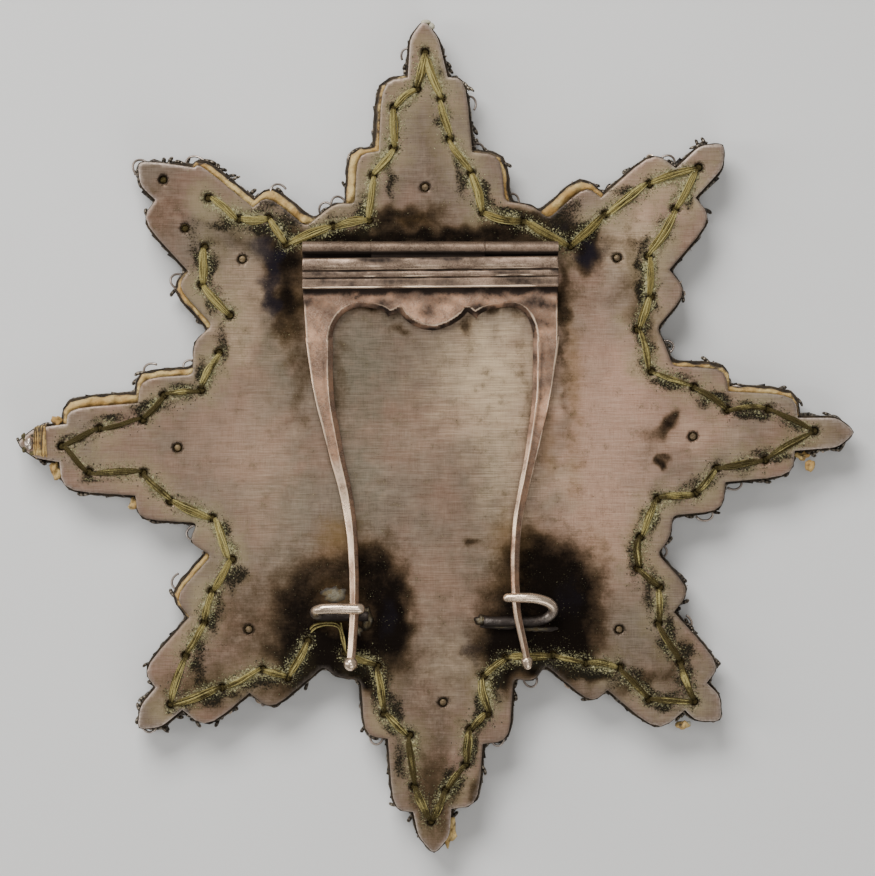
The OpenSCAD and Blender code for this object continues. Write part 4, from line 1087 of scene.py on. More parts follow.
def makeKnuckle():
    # The fork's middle knuckle: a barrel with soft ends, its rolled seam, and the web from it to the bar
    low, high = fork["knuckle"]
    low, high = low + 0.02, high - 0.02
    x = np.concatenate([[low, low + 0.02], np.linspace(low + 0.07, high - 0.07, 60), [high - 0.02, high]])
    radius = fork["barrelRadius"] - 0.05 * unit(1 - np.minimum(x - low, high - x) / 0.06) ** 2
    a = fullTurn(36)
    seam = 0.06 * bell((a - np.radians(205) + np.pi) % (2 * np.pi), np.pi, 0.09)
    ring = (radius[:, None] - seam + 0.01 * unevenness(
        np.stack(np.broadcast_arrays(x[:, None], 2 * np.cos(a), 2 * np.sin(a)), -1), 3.0, 101))
    points = np.stack(np.broadcast_arrays(x[:, None], hingeY + ring * np.cos(a), hingeZ + ring * np.sin(a)),
                      -1).reshape(-1, 3)
    faces = shellFaces(len(x), len(a))
    web = np.array([[0.0, 5.32], [0.0, 6.1], [0.55, 6.16], [1.3, 6.05], [1.8, 5.9], [1.8, 5.32]])
    webPoints, webFaces, _ = extrudeAlongX(web, low + 0.03, high - 0.03, 0.5, 0.04)
    # Darker at the barrel's ends and on its lower side, towards the bar
    ends = bell(np.minimum(x - low, high - x), 0, 0.07)[:, None]
    lower = unit(np.cos(np.broadcast_to(a, ring.shape) - np.radians(190)) * 2.4 - 1.35)
    mist = (0.42 + 0.12 * unevenness(np.stack(np.broadcast_arrays(x[:, None], np.cos(a), np.sin(a)), -1),
        3.0, 102))
    sootAndShade = np.concatenate([np.clip(mist + lower * 1.2 + ends * 1.2, 0, 1.3).ravel(),
        np.full(len(webPoints), 1.3)])
    # Painted highlight along the top of the barrel
    wearAndHighlight = np.concatenate([(0.3 * unit(np.sin(np.broadcast_to(a, ring.shape)) - 0.6)).ravel(),
        np.zeros(len(webPoints))])
    faces += [[p + len(points) for p in row] for row in webFaces]
    return np.concatenate([points, webPoints]), faces, sootAndShade, wearAndHighlight


def makeFork():
    # Its pieces in their finishes. Each prong ends at length from the hinge, its own share of half aside.
    tips = []
    for rows, side in ((fork["leftProng"], -1), (fork["rightProng"], 1)):
        aside = side * fork["half"] * rows[-1][1]
        tips.append(np.array([hingeX + fork["prongShift"] + aside, hingeY - fork["length"], fork["prongZ"]]))
    r = fork["ballRadius"]
    turn = np.radians(np.linspace(4, 176, 17))
    ball = turnedEnd(tips[0] + (0, -0.05, 0), -np.cos(turn) * r, np.sin(turn) * r, (0, -1, 0))
    knob = turnedEnd(tips[1], [-0.72, -0.66, -0.52, -0.3, -0.05, 0.2, 0.42, 0.58, 0.66, 0.68],
                     [0.3, 0.46, 0.6, 0.64, 0.6, 0.52, 0.44, 0.34, 0.18, 0.03], (0.12, -1, 0))
    parts = {"forkBar": makeBar(), "forkSheet": makeSheet(), "forkKnuckle": makeKnuckle(),
             "leftProng": makeProng(fork["leftProng"], -1), "rightProng": makeProng(fork["rightProng"], 1),
             "leftBall": (*ball, np.zeros(len(ball[0])), np.full(len(ball[0]), 0.8)),
             "rightKnob": (*knob, np.zeros(len(knob[0])), np.full(len(knob[0]), 0.7))}
    finishes = {"leftBall": hookMaterial, "rightKnob": hookMaterial, "forkBar": barMaterial,
                "forkKnuckle": hingeMaterial}
    for name, (points, faces, sootAndShade, wearAndHighlight) in parts.items():
        piece = buildPiece(name, points, faces, finishes.get(name, forkMaterial), "fork",
                           {"sootAndShade": sootAndShade, "wearAndHighlight": wearAndHighlight})
        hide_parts("pin_fork")


makeFork()
for node in ("hinge_base", "hinge_pin"):
    mesh = frame["nodes"][node].data
    mesh.materials.clear()
    mesh.materials.append(hingeMaterial)
print("pin fork and hinge")


# Catch hooks.

hooks = {
    "wireRadius": 0.56,
    # bend centre on the foot's line, gap between limbs, lean in degrees, lengths, radius at the limb's end,
    # half width of a bend that is an ellipse, and the way along X from the bend to the foot's end
    "left": {"bend": (-11.90, -19.25, 5.40), "gap": 2.34, "lean": 22, "foot": 4.7, "limb": 3.75,
             "limbRadius": 0.62, "way": 1},
    "right": {"bend": (10.3, -19.84, 5.40), "gap": 3.43, "lean": 51, "foot": 4.82, "limb": 2.25,
              "limbRadius": 0.48, "bendX": 2.8, "way": -1},
    # middle, half sizes, height and grime of the solder beside the hooks
    "solder": [(-7.35, -19.6, 0.62, 1.35, 0.8, 0), (-11.0, -16.9, 1.5, 0.9, 0.07, 0),
               (-8.4, -20.8, 0.6, 0.7, 0.16, 0.1), (5.35, -19.7, 0.95, 0.6, 0.6, 0.1),
               (7.4, -20.4, 2.4, 0.36, 0.1, 0.35), (11.4, -20.7, 2.6, 0.36, 0.1, 0.35)],
}


def makeHook(name, size, node):
    # Round wire along a foot, a half circle and an upper limb with a rounded end, leaning about the foot
    radius, gap = hooks["wireRadius"], size["gap"]
    turn = np.radians(np.linspace(270, 90, 30))
    foot = np.stack([np.linspace(size["foot"], 0.15, 14), np.zeros(14)], 1)
    bend = np.stack([size.get("bendX", gap / 2) * np.cos(turn), gap / 2 * (1 + np.sin(turn))], 1)
    limb = np.stack([np.linspace(0.15, size["limb"], 16), np.full(16, gap)], 1)
    closing = np.radians([25, 45, 62, 76, 86])
    roundEnd = np.stack([size["limb"] + size["limbRadius"] * np.sin(closing), np.full(5, gap)], 1)
    flat = np.concatenate([foot, bend, limb, roundEnd])
    thick = np.concatenate([np.full(len(foot) + len(bend), radius),
                            np.linspace(radius, size["limbRadius"], len(limb)),
                            np.cos(closing) * size["limbRadius"]])
    flat[:, 1] += 0.03 * np.sin(flat[:, 0] * 1.3)
    lean = np.radians(size["lean"])
    x, y, z = size["bend"]
    path = np.stack([x + size["way"] * flat[:, 0], y + flat[:, 1] * np.sin(lean),
                     z + flat[:, 1] * np.cos(lean)], 1)
    points, faces = tubes(path[None], thick[None], 20,
                          (0, np.cos(lean) * size["way"], -np.sin(lean) * size["way"]))
    points += 0.01 * unevenness(points, 1.4, 111)[:, None]
    # Painted shade on the foot and the lower bend, and a painted highlight on the upper limb, both by height
    rise = unit((points[:, 2] - z) / (gap * np.cos(lean)))
    piece = buildPiece(name, points, faces, hookMaterial, "star",
                       {"sootAndShade": np.clip(1.4 - rise * 2.1, 0, 1.25),
                        "wearAndHighlight": np.clip(rise * 1.5 - 0.7, 0, 0.7)})
    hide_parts(node)


def solderGrey():
    # Grey and yellow hard solder, lumpy and dull, dark where it runs out
    startMaterial("solderGrey", metallic=0.45, roughness=0.55)
    lump, fine = (grain(0.5, 4, 0.6), grain(0.12, 3, 0.6, 4))
    colour = blend(between(lump, 0.4, 0.62), tone(98, 84, 56), tone(122, 116, 98))
    colour = blend(between(fine, 0.5, 0.75, 0, 0.7), colour, tone(52, 38, 26))
    colour = blend(between(painted("sootAndShade") + (lump - 0.5), 0.2, 0.8), colour, tone(36, 26, 18))
    return finishMaterial(colour, height=lump + fine, depth=0.035)


def makeSolder():
    # Each puddle is a dome on the plate: height * (1 - r^2)^0.6, its outline waved by angle
    rings, steps = 14, 36
    ring, spoke = np.meshgrid(np.linspace(0.04, 1, rings), fullTurn(steps), indexing="ij")
    allPoints, sootAndShade = [], []
    for index, (x, y, halfX, halfY, height, grime) in enumerate(hooks["solder"]):
        wave = 1 + 0.16 * unevenness(np.stack([np.cos(spoke), np.sin(spoke)], -1) * 2, 2.2, 120 + index)
        px, py = x + ring * halfX * wave * np.cos(spoke), y + ring * halfY * wave * np.sin(spoke)
        pz = (plateTop - 0.06 + (height + 0.06) * np.maximum(1 - ring ** 2, 0) ** 0.6
              * (1 + 0.15 * unevenness(np.stack([px, py], -1), 0.8, 130)))
        allPoints.append(np.stack([px, py, pz], -1).reshape(-1, 3))
        sootAndShade.append(unit(ring - 0.25 + grime).ravel())
    faces = shellFaces(rings, steps, len(hooks["solder"]))
    buildPiece("hookSolder", np.concatenate(allPoints), faces, solderGrey(), "star",
               {"sootAndShade": np.concatenate(sootAndShade)})


makeHook("leftHookWire", hooks["left"], "catch_hook_left")
makeHook("rightHookWire", hooks["right"], "catch_hook_right")
makeSolder()
print("catch hooks")


# Leather padding.

leather = {"roll": 0.62, "edgeRound": 0.3, "jitter": 0.06}


def leatherTan():
    # Tan leather seen at its cut edge: cream on the roll, orange brown along the edges, pores and grime
    startMaterial("leatherTan", roughness=0.7)
    cloud, pore, fibre = (grain(2.4, 4, 0.6), grain(0.18, 4, 0.7, 3), grain(0.5, 4, 0.65, 6))
    colour = blend(between(cloud, 0.35, 0.65), tone(178, 138, 74), tone(214, 184, 120))
    colour = blend(between(fibre, 0.5, 0.7, 0, 0.5), colour, tone(150, 108, 58))
    colour = blend(between(pore, 0.58, 0.72, 0, 0.6), colour, tone(92, 66, 38))
    sootAndShade = painted("sootAndShade") + (fibre - 0.5)
    colour = blend(between(sootAndShade, 0.25, 0.8, 0, 0.92), colour, tone(52, 38, 24))
    return finishMaterial(colour, height=pore + fibre * 1.5, depth=0.09)


leatherMaterial = leatherTan()


def makeLeather():
    # Filled outline. Outside the plate the top swells as the root of t * (1 - t), t going from plate to edge.
    loop = anticlockwise(outlineLoops("leather_padding", leatherTop)[0])
    edge = finer(loop, 0.2)
    wave = leather["jitter"] * unevenness(edge, 2.2, 201)[:, None]
    edge = inwardOffset(edge, 1.0) * wave + edge * (1 - wave)
    fine = hexPoints(edge.min(0), edge.max(0), 0.24)
    fine = fine[insideLoop(fine, edge)]
    near = nearest(fine, edge)[0]
    fine = fine[(near > 0.1) & (near < 2.6)]
    fine = fine[~insideLoop(fine, inwardOffset(plateOutline, 0.4))]
    coarse = hexPoints(edge.min(0), edge.max(0), 2.2)
    coarse = coarse[insideLoop(coarse, edge)]
    coarse = coarse[nearest(coarse, np.concatenate([edge, fine]))[0] > 0.8]
    rings = inwardOffset(edge, 0.08)
    rings = rings[insideLoop(rings, edge)]
    rings = rings[nearest(rings, edge)[0] > 0.05]
    fine = fine[nearest(fine, rings)[0] > 0.08]
    points, top = triangulate([edge], np.concatenate([rings, fine, coarse]))
    edgeGap, plateGap = nearest(points, edge)[0], nearest(points, plateOutline)[0]
    plateGap = np.where(insideLoop(points, plateLoops[0]), 0, plateGap)
    t = plateGap / (plateGap + edgeGap + 1e-6)
    swell = leather["roll"] * np.sqrt(unit(4 * t * (1 - t))) * unit(plateGap + edgeGap)
    height = (leatherTop - leather["edgeRound"] * (1 - unit(edgeGap / 0.3)) ** 2
              + swell * (1 + 0.3 * unevenness(points, 1.6, 202)))
    height += 0.05 * unevenness(points, 0.9, 203) * unit(plateGap * 3)
    count = len(edge)
    ring = np.arange(count)
    after = np.roll(ring, -1)
    walls = np.stack([ring, ring + len(points), after + len(points), after], 1)
    under = triangulate([edge], np.zeros((0, 2)))[1][:, ::-1] + len(points)
    allPoints = np.column_stack([np.concatenate([points, edge]),
        np.concatenate([height, np.full(count, leatherBottom)])])
    sootAndShade = unit(1.1 - edgeGap / 0.2) * 0.6 + 0.5 * unit(1 - plateGap / 0.12)
    sootAndShade += 0.25 * unit(unevenness(points, 9.0, 204)) + 0.3 * unit(1.5 - (plateGap + edgeGap) / 0.4)
    piece = buildPiece("leatherPad", allPoints, joinFaces(top, walls, under), leatherMaterial, "star",
                       {"sootAndShade": np.concatenate([sootAndShade, np.full(count, 0.7)])})
    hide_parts("leather_padding")


makeLeather()
print("leather")


# Embroidered front.

front = {"rows": 330, "stations": 34, "rowSides": 7, "startRadius": 12.15, "edgeMargin": 0.45,
         "rowRadius": 0.42, "turnsPerMm": 0.6, "baseShare": 0.9,
         "relief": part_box("embroidered_star")[1].z / metre}


def bullionWire(name, light, dark):
    # Coiled metal thread: dark between the turns of the coil, tarnished black in patches
    startMaterial(name, metallic=0.75, roughness=0.36)
    along = output(0, "ShaderNodeUVMap", uv_map="along")
    turns = output(1, "ShaderNodeTexWave", {"Vector": along, "Scale": 1.0, "Distortion": 0.4, "Detail": 1.0},
                   wave_type="BANDS", bands_direction="Y")
    cloud, fine = (grain(3.2, 4, 0.6), grain(0.3, 3, 0.6, 4))
    tarnish = between(painted("sootAndShade") + (cloud - 0.5 + (fine - 0.5)), 0.0, 1.0)
    colour = blend(between(cloud, 0.35, 0.65), dark, light)
    colour = blend(tarnish, colour, tone(38, 33, 30))
    colour = blend(between(turns, 0.1, 0.6, 0.75, 0.0), colour, tone(24, 20, 18))
    roughness = between(tarnish, 0.0, 1.0, 0.34, 0.62)
    return finishMaterial(colour, roughness, None, turns + fine * 0.15, depth=0.07)


bullionMaterial = bullionWire("bullionSilver", tone(196, 186, 168), tone(148, 136, 116))


def undersideAt(node, places, elsewhere=2.4):
    # Height of a CAD node's underside above each place, by the weights of the corners of its triangle, and
    # `elsewhere` where no triangle holds the place
    corner, triangles = meshArrays(frame["nodes"][node].data)
    a, b, c = corner[triangles].transpose(1, 0, 2) / metre
    area = (b[:, 0] - a[:, 0]) * (c[:, 1] - a[:, 1]) - (b[:, 1] - a[:, 1]) * (c[:, 0] - a[:, 0])
    a, b, c, area = (part[area < -1e-4] for part in (a, b, c, area))
    height = np.full(len(places), elsewhere)
    for start in range(0, len(places), 600):
        x, y = places[start:start + 600, 0, None], places[start:start + 600, 1, None]
        atB = ((x - a[:, 0]) * (c[:, 1] - a[:, 1]) - (y - a[:, 1]) * (c[:, 0] - a[:, 0])) / area
        atC = ((b[:, 0] - a[:, 0]) * (y - a[:, 1]) - (b[:, 1] - a[:, 1]) * (x - a[:, 0])) / area
        inside = np.minimum(np.minimum(atB, atC), 1 - atB - atC)
        best = inside.argmax(1)
        row = np.arange(len(best))
        atB, atC, held = atB[row, best], atC[row, best], inside[row, best] > -0.01
        z = a[best, 2] + atB * (b[best, 2] - a[best, 2]) + atC * (c[best, 2] - a[best, 2])
        height[start:start + 600] = np.where(held, z, elsewhere)
    return height


def makeRows():
    # Rows of coil lie side by side from the round centre to the edge. Row k keeps one bearing; its radius
    # grows from 0 to 1 of the way out and its height is the solid's, by the triangle that holds the place.
    rows, stations, sides = front["rows"], front["stations"], front["rowSides"]
    loop = outlineLoops("embroidered_star", front["relief"])[0]
    edge = finer(loop, 0.05)
    edgeBearing = np.arctan2(edge[:, 1], edge[:, 0])
    edgeRadius = np.linalg.norm(edge, axis=1)
    bearing = (np.arange(rows) + 0.5) * 2 * np.pi / rows - np.pi
    order = np.argsort(edgeBearing)
    reach = np.interp(bearing, edgeBearing[order], edgeRadius[order]) - front["edgeMargin"]
    share = np.linspace(0, 1, stations) ** 0.9
    radius = front["startRadius"] + (reach[:, None] - front["startRadius"]) * share
    flat = np.stack([radius * np.cos(bearing)[:, None], radius * np.sin(bearing)[:, None]], -1)
    z = undersideAt("embroidered_star", flat.reshape(-1, 2)).reshape(rows, stations)
    tubeRadius = np.minimum(radius * np.pi / rows * 1.06, front["rowRadius"])
    z = z + tubeRadius * 0.35
    paths = np.concatenate([flat, z[..., None]], -1)
    points, faces = tubes(paths, tubeRadius, sides, (0, 0, -1))
    steps = np.linalg.norm(np.diff(paths, axis=1), axis=2)
    length = np.concatenate([np.zeros((rows, 1)), np.cumsum(steps, 1)], 1)
    around = np.tile(np.arange(sides) / sides, rows * stations)
    uv = np.stack([around, perRing(length, rows, stations, sides) * front["turnsPerMm"]], 1)
    valley = unit((z - 0.6) / 2.0)
    sootAndShade = perRing(0.1 + 0.14 * unevenness(flat, 11.0, 211) + 0.3 * valley + 0.4 * share ** 8, rows,
                   stations, sides)
    buildPiece("coilRows", points, faces, bullionMaterial, "star", {"sootAndShade": sootAndShade}, uv)


def feltDark():
    # Dark, greasy cloth under the coils
    startMaterial("feltDark", roughness=0.9)
    weave, fine = (grain(0.7, 4, 0.6), grain(0.12, 3, 0.7, 3))
    colour = blend(between(weave, 0.35, 0.65), tone(38, 31, 24), tone(66, 54, 38))
    colour = blend(between(fine, 0.55, 0.75), colour, tone(96, 80, 54))
    return finishMaterial(colour, height=fine, depth=0.05)


def makeBase():
    # A copy of the solid, its relief kept to baseShare of its height, so the rows of coil sit on it
    mesh = frame["nodes"]["embroidered_star"].data.copy()
    mesh.name = "frontBase"
    place = meshArrays(mesh)[0]
    relief = front["relief"] * metre
    place[:, 2] = relief - (relief - place[:, 2]) * front["baseShare"]
    mesh.vertices.foreach_set("co", place.ravel())
    mesh.materials.clear()
    mesh.materials.append(feltDark())
    base = addObject("frontBase", mesh)
    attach(base, "star")
    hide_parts("embroidered_star")


makeBase()
makeRows()
print("embroidered front")


# Round centre.

centre = {"radius": 11.5, "height": 1.3, "rim": 0.75, "steps": 120}


def centreMetal():
    # Satin metal turned in rings, scratched and tarnished, darker towards its rim
    startMaterial("centreMetal", metallic=0.85, roughness=0.38)
    cloud, fine = (grain(4.0, 5, 0.6), grain(0.25, 4, 0.7, 2))
    scratch = grain((3.0, 0.06, 1.0), 3, 0.6, 5)
    colour = blend(between(cloud, 0.35, 0.65), tone(128, 116, 102), tone(168, 154, 136))
    colour = blend(between(fine, 0.58, 0.74, 0, 0.5), colour, tone(70, 58, 48))
    colour = blend(between(scratch, 0.64, 0.72, 0, 0.5), colour, tone(206, 194, 178))
    sootAndShade = between(painted("sootAndShade") + (cloud - 0.5), 0.25, 0.9)
    colour = blend(sootAndShade * 0.85, colour, tone(34, 28, 24))
    roughness = clamped(between(cloud, 0.3, 0.7, 0.46, 0.32) + sootAndShade * 0.3)
    return finishMaterial(colour, roughness, None, scratch + fine * 0.5, depth=0.012)


def makeCentre():
    # A turned disc: flat face, a shallow step inside the rim, a beaded rim and a plain wall
    radius, high, rim = centre["radius"], centre["height"], centre["rim"]
    profile = np.array([[0.02, 0.0], [2.5, 0.0], [5.0, 0.0], [7.5, 0.0], [9.4, 0.0],
                        [radius - rim - 0.28, 0.0], [radius - rim - 0.2, 0.07], [radius - rim - 0.1, 0.16],
                        [radius - rim, 0.16], [radius - rim + 0.06, 0.06], [radius - rim + 0.16, 0.01],
                        [radius - rim / 2, 0.0], [radius - 0.16, 0.01], [radius - 0.05, 0.07],
                        [radius, 0.2], [radius, 0.6], [radius, high - 0.06], [radius - 0.06, high],
                        [6.0, high], [0.02, high]])
    turn = fullTurn(centre["steps"])
    bead = 1 + 0.0016 * np.cos(turn * 60)[None] * (profile[:, 0] > radius - rim * 0.6)[:, None]
    r = profile[:, 0, None] * bead
    points = np.stack([r * np.cos(turn), r * np.sin(turn), np.broadcast_to(profile[:, 1, None], r.shape)],
                      -1).reshape(-1, 3)
    faces = shellFaces(len(profile), len(turn))
    groove = bell(profile[:, 0], radius - rim - 0.08, 0.16) + (profile[:, 1] > 0.3) * 0.7
    piece = buildPiece("roundCentre", points, faces, centreMetal(), "star",
                       {"sootAndShade": np.repeat(groove, len(turn))})
    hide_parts("centre_disc")


makeCentre()
print("round centre")


# Loose ends of the embroidery, seen round the edge.

fringe = {
    "edgeRadius": 0.27, "edgeHeight": 2.35,
    # bearing in degrees and reach of the wire loops, as they stand out past the edge
    "loops": [(9, 34.4, 1.0), (22, 30.6, 0.9), (49, 39.8, 1.0), (58, 33.2, 0.95), (72, 29.6, 1.0),
              (81.5, 34.9, 1.0), (105, 33.0, 0.9), (115, 29.6, 1.0), (112, 41.2, 1.0), (122, 33.8, 1.1),
              (131, 44.6, 1.4), (137, 45.0, 1.1), (148, 34.2, 1.0), (163, 33.6, 0.9), (166, 41.0, 1.0),
              (201, 29.6, 1.0), (209, 34.2, 1.1), (225, 45.0, 1.0), (259, 35.8, 0.9), (282, 34.2, 0.85),
              (292, 30.6, 0.9), (324, 34.8, 1.0), (334, 30.8, 0.9), (345, 34.4, 1.0), (352, 41.0, 0.9),
              (50, 44.2, 1.1), (94, 45.0, 0.8), (84, 43.5, 0.9)],
    "coilCount": 90, "spangleCount": 70,
    "tips": [(84, 44.5), (88, 42.0), (50, 45.0), (48, 42.4), (132, 45.6), (135, 46.2), (127, 43.5),
             (226, 44.8), (229, 42.4), (222, 43.0)],
}


def edgeAt(degrees):
    # Where the embroidery's edge lies at each bearing
    order = np.argsort(frontBearing)
    bearing = (np.radians(degrees) + np.pi) % (2 * np.pi) - np.pi
    return np.interp(bearing, frontBearing[order], frontRadius[order])


frontLoop = anticlockwise(outlineLoops("embroidered_star", front["relief"])[0])
frontEdge = finer(frontLoop, 0.1)
frontBearing, frontRadius = np.arctan2(frontEdge[:, 1], frontEdge[:, 0]), np.linalg.norm(frontEdge, axis=1)
darkBullion = bullionWire("bullionTarnished", tone(158, 146, 128), tone(96, 86, 74))


def makeEdgeCord():
    # One coil laid round the edge: a tube on the smoothed outline, its height waved
    path = finer(frontLoop, 0.3)
    path = inwardOffset(path, 0.2)
    for _ in range(3):
        path = (np.roll(path, 1, 0) + 2 * path + np.roll(path, -1, 0)) / 4
    path = np.concatenate([path, path[:2]])
    z = fringe["edgeHeight"] + 0.18 * unevenness(path, 5.0, 301)
    radius = fringe["edgeRadius"] * (1 + 0.18 * unevenness(path, 2.0, 302))
    path = np.column_stack([path, z])
    points, faces = tubes(path[None], radius[None], 8, (0, 0, 1))
    length = np.concatenate([[0], np.cumsum(np.linalg.norm(np.diff(path, axis=0), axis=1))])
    uv = np.stack([np.tile(np.arange(8) / 8, len(path)), np.repeat(length * front["turnsPerMm"], 8)], 1)
    sootAndShade = np.repeat(0.12 + 0.35 * unevenness(path, 9.0, 303), 8)
    buildPiece("edgeCord", points, faces, darkBullion, "star", {"sootAndShade": sootAndShade}, uv)


def makeCoilEnds():
    # Short ends of coil, drawn in at both ends, lie aslant under the edge, each a little bowed outwards
    random = np.random.default_rng(31)
    count, stations, sides = fringe["coilCount"], 12, 8
    pick = random.integers(0, len(frontEdge), count)
    start = inwardOffset(frontEdge, 0.2)[pick]
    normal = -(inwardOffset(frontEdge, 1.0) - frontEdge)[pick]
    tipRows = np.repeat(np.array(fringe["tips"]), 5, 0)
    bearing = np.radians(tipRows[:, 0] + random.normal(0, 1.2, len(tipRows)))
    tipStart = np.stack([np.cos(bearing), np.sin(bearing)], 1) * (edgeAt(np.degrees(bearing)) - 0.3)[:, None]
    start = np.concatenate([start, tipStart])
    normal = np.concatenate([normal, np.stack([np.cos(bearing), np.sin(bearing)], 1)])
    count = len(start)
    skew = np.where(random.random(count) < 0.5, -1, 1) * random.uniform(0.7, 1.5, count)
    c, s = np.cos(skew), np.sin(skew)
    way = np.stack([normal[:, 0] * c - normal[:, 1] * s, normal[:, 0] * s + normal[:, 1] * c], 1)
    side = np.stack([-way[:, 1], way[:, 0]], 1)
    share = np.linspace(0, 1, stations)
    length = random.uniform(1.2, 2.0, count)
    out = (share - 0.5)[None, :, None] * length[:, None, None]
    bow = 0.25 * (1 - (2 * share - 1) ** 2)[None, :, None] * normal[:, None]
    flat = (start[:, None] + way[:, None] * out + bow
            + side[:, None] * (random.normal(0, 0.12, (count, 1)) * share ** 2)[..., None])
    z = random.uniform(1.5, 3.0, (count, 1)) + random.normal(0, 0.25, (count, 1)) * share
    paths = np.concatenate([flat, z[..., None]], -1)
    radii = random.uniform(0.16, 0.24, (count, 1)) * unit(4.5 * np.minimum(share, 1 - share) + 0.45)
    points, faces = tubes(paths, radii, sides, (0, 0, 1))
    sootAndShade = perRing(random.uniform(-0.2, 0.6, (count, 1)), count, stations, sides)
    uv = np.stack([np.zeros(len(points)), perRing(share * 1.1, count, stations, sides)], 1)
    buildPiece("coilEnds", points, faces, darkBullion, "star", {"sootAndShade": sootAndShade}, uv)


def makeWireLoops():
    # Thin wire bowed out from the edge: part of a circle in a plane that is tipped a little from level
    random = np.random.default_rng(37)
    rows = np.array(fringe["loops"])
    count, stations = len(rows), 22
    bearing = np.radians(rows[:, 0])
    out = np.stack([np.cos(bearing), np.sin(bearing), np.zeros(count)], 1)
    side = np.stack([-out[:, 1], out[:, 0], random.normal(0, 0.25, count)], 1)
    edge = edgeAt(rows[:, 0])
    middle = (out * (np.minimum(rows[:, 1], edge + 0.55) - rows[:, 2] * 0.8)[:, None]
              + (0, 0, 1) * random.uniform(2.0, 2.9, (count, 1)))
    turn = np.linspace(-2.0, 2.0, stations) + random.normal(0, 0.2, (count, 1))
    paths = (middle[:, None] + rows[:, 2, None, None]
             * (out[:, None] * np.cos(turn)[..., None] + 0.8 * side[:, None] * np.sin(turn)[..., None]))
    paths[..., 2] += 0.15 * np.sin(turn * 1.7)
    points, faces = tubes(paths, np.full((count, stations), 0.13), 6, (0, 0, 1))
    values = {"sootAndShade": perRing(random.uniform(0.1, 0.55, (count, 1)), count, stations, 6),
              "wearAndHighlight": np.full(len(points), 0.3)}
    buildPiece("wireLoops", points, faces, hookMaterial, "star", values)


def makeSpangles():
    # Small sequins on edge under the rim: rings of 12 points at three radii, tipped each its own way
    random = np.random.default_rng(41)
    count = fringe["spangleCount"]
    pick = random.integers(0, len(frontEdge), count)
    place = inwardOffset(frontEdge, 0.35)[pick]
    middle = np.column_stack([place, random.uniform(1.3, 2.7, count)])
    normal = random.normal(size=(count, 3)) * (1, 1, 0.8)
    normal /= np.linalg.norm(normal, axis=1)[:, None]
    u = np.cross(normal, (0, 0, 1.0))
    u /= np.linalg.norm(u, axis=1)[:, None] + 1e-9
    v = np.cross(normal, u)
    turn = fullTurn(12)
    radius = np.array([0.16, 0.48, 0.62, 0.62, 0.48, 0.16])
    lift = np.array([0.05, 0.08, 0.03, -0.01, 0.02, -0.01])
    ring = ((u[:, None, None] * np.cos(turn)[:, None] + v[:, None, None] * np.sin(turn)[:, None])
            * radius[:, None, None])
    points = (middle[:, None, None] + ring + normal[:, None, None] * lift[:, None, None]).reshape(-1, 3)
    rings, sides = len(radius), len(turn)
    here = np.arange(sides)
    after, last = np.roll(here, -1), (rings - 1) * sides
    one = np.concatenate([gridFaces(rings, sides, wrap=True),
                          np.stack([here + last, after + last, after, here], 1)])
    faces = (one[None] + (np.arange(count) * rings * sides)[:, None, None]).reshape(-1, 4)
    values = {"sootAndShade": np.repeat(random.uniform(0.0, 0.8, count), rings * sides),
              "wearAndHighlight": np.repeat(random.uniform(0, 0.6, count), rings * sides)}
    buildPiece("spangles", points, faces, hookMaterial, "star", values)


makeEdgeCord()
makeCoilEnds()
makeWireLoops()
makeSpangles()
print("edge of the embroidery")


# Small things on the plate.

small = {
    "crumbs": 6500, "crumbSize": (0.03, 0.1),
    "looseEnds": [[(-13.9, -20.9, 4.5), (-13.2, -20.2, 5.05), (-12.0, -19.95, 5.15), (-10.7, -20.1, 5.2),
                   (-10.0, -21.4, 5.2), (-9.75, -23.3, 4.5)],
                  [(-13.7, -21.1, 4.6), (-13.0, -20.5, 5.0), (-11.8, -20.2, 5.02), (-10.6, -20.5, 5.05),
                   (-10.2, -21.8, 5.05), (-9.8, -23.2, 4.5)],
                  [(-10.3, -19.95, 4.98), (-10.2, -20.6, 5.15), (-9.95, -21.6, 5.2), (-9.85, -22.4, 5.1),
                   (-9.8, -23.0, 4.9), (-9.6, -23.4, 4.5)]],
    # middle, half sizes of the leather shreds and pale lumps at the tips
    "shreds": [(1.9, -42.8, 3.5, 0.5, 1.5, 0.3), (1.5, -44.0, 3.7, 0.35, 0.9, 0.25),
               (27.4, -31.4, 3.6, 0.75, 0.45, 0.4), (40.6, -1.6, 3.6, 0.8, 0.4, 0.3),
               (41.4, -2.6, 3.5, 0.5, 0.7, 0.25), (-41.7, -3.2, 3.6, 0.55, 1.0, 0.4),
               (-33.2, -6.9, 3.7, 0.5, 0.75, 0.35), (-41.6, 2.3, 3.8, 0.7, 0.5, 0.35)],
    "darkLumps": [(-45.1, 0.45, 4.75, 0.3, 0.5, 0.2), (-44.0, 0.55, 4.8, 0.35, 0.25, 0.16),
                  (-44.1, -1.25, 4.8, 0.4, 0.25, 0.16), (-45.1, -0.9, 4.74, 0.25, 0.35, 0.2),
                  (-43.8, -0.2, 4.8, 0.2, 0.6, 0.12)],
    "paleLumps": [(-0.9, 46.1, 3.4, 0.5, 0.35, 0.4), (-0.2, 45.7, 3.6, 0.4, 0.4, 0.35),
                  (28.0, -31.2, 3.2, 0.4, 0.35, 0.3), (-26.6, 26.3, 3.4, 0.4, 0.4, 0.3)],
    "lashing": {"from": -43.85, "to": -42.6, "turns": 26, "halfY": 1.9, "middleY": -0.1, "low": 2.6,
                "high": 4.98, "radius": 0.08},
}


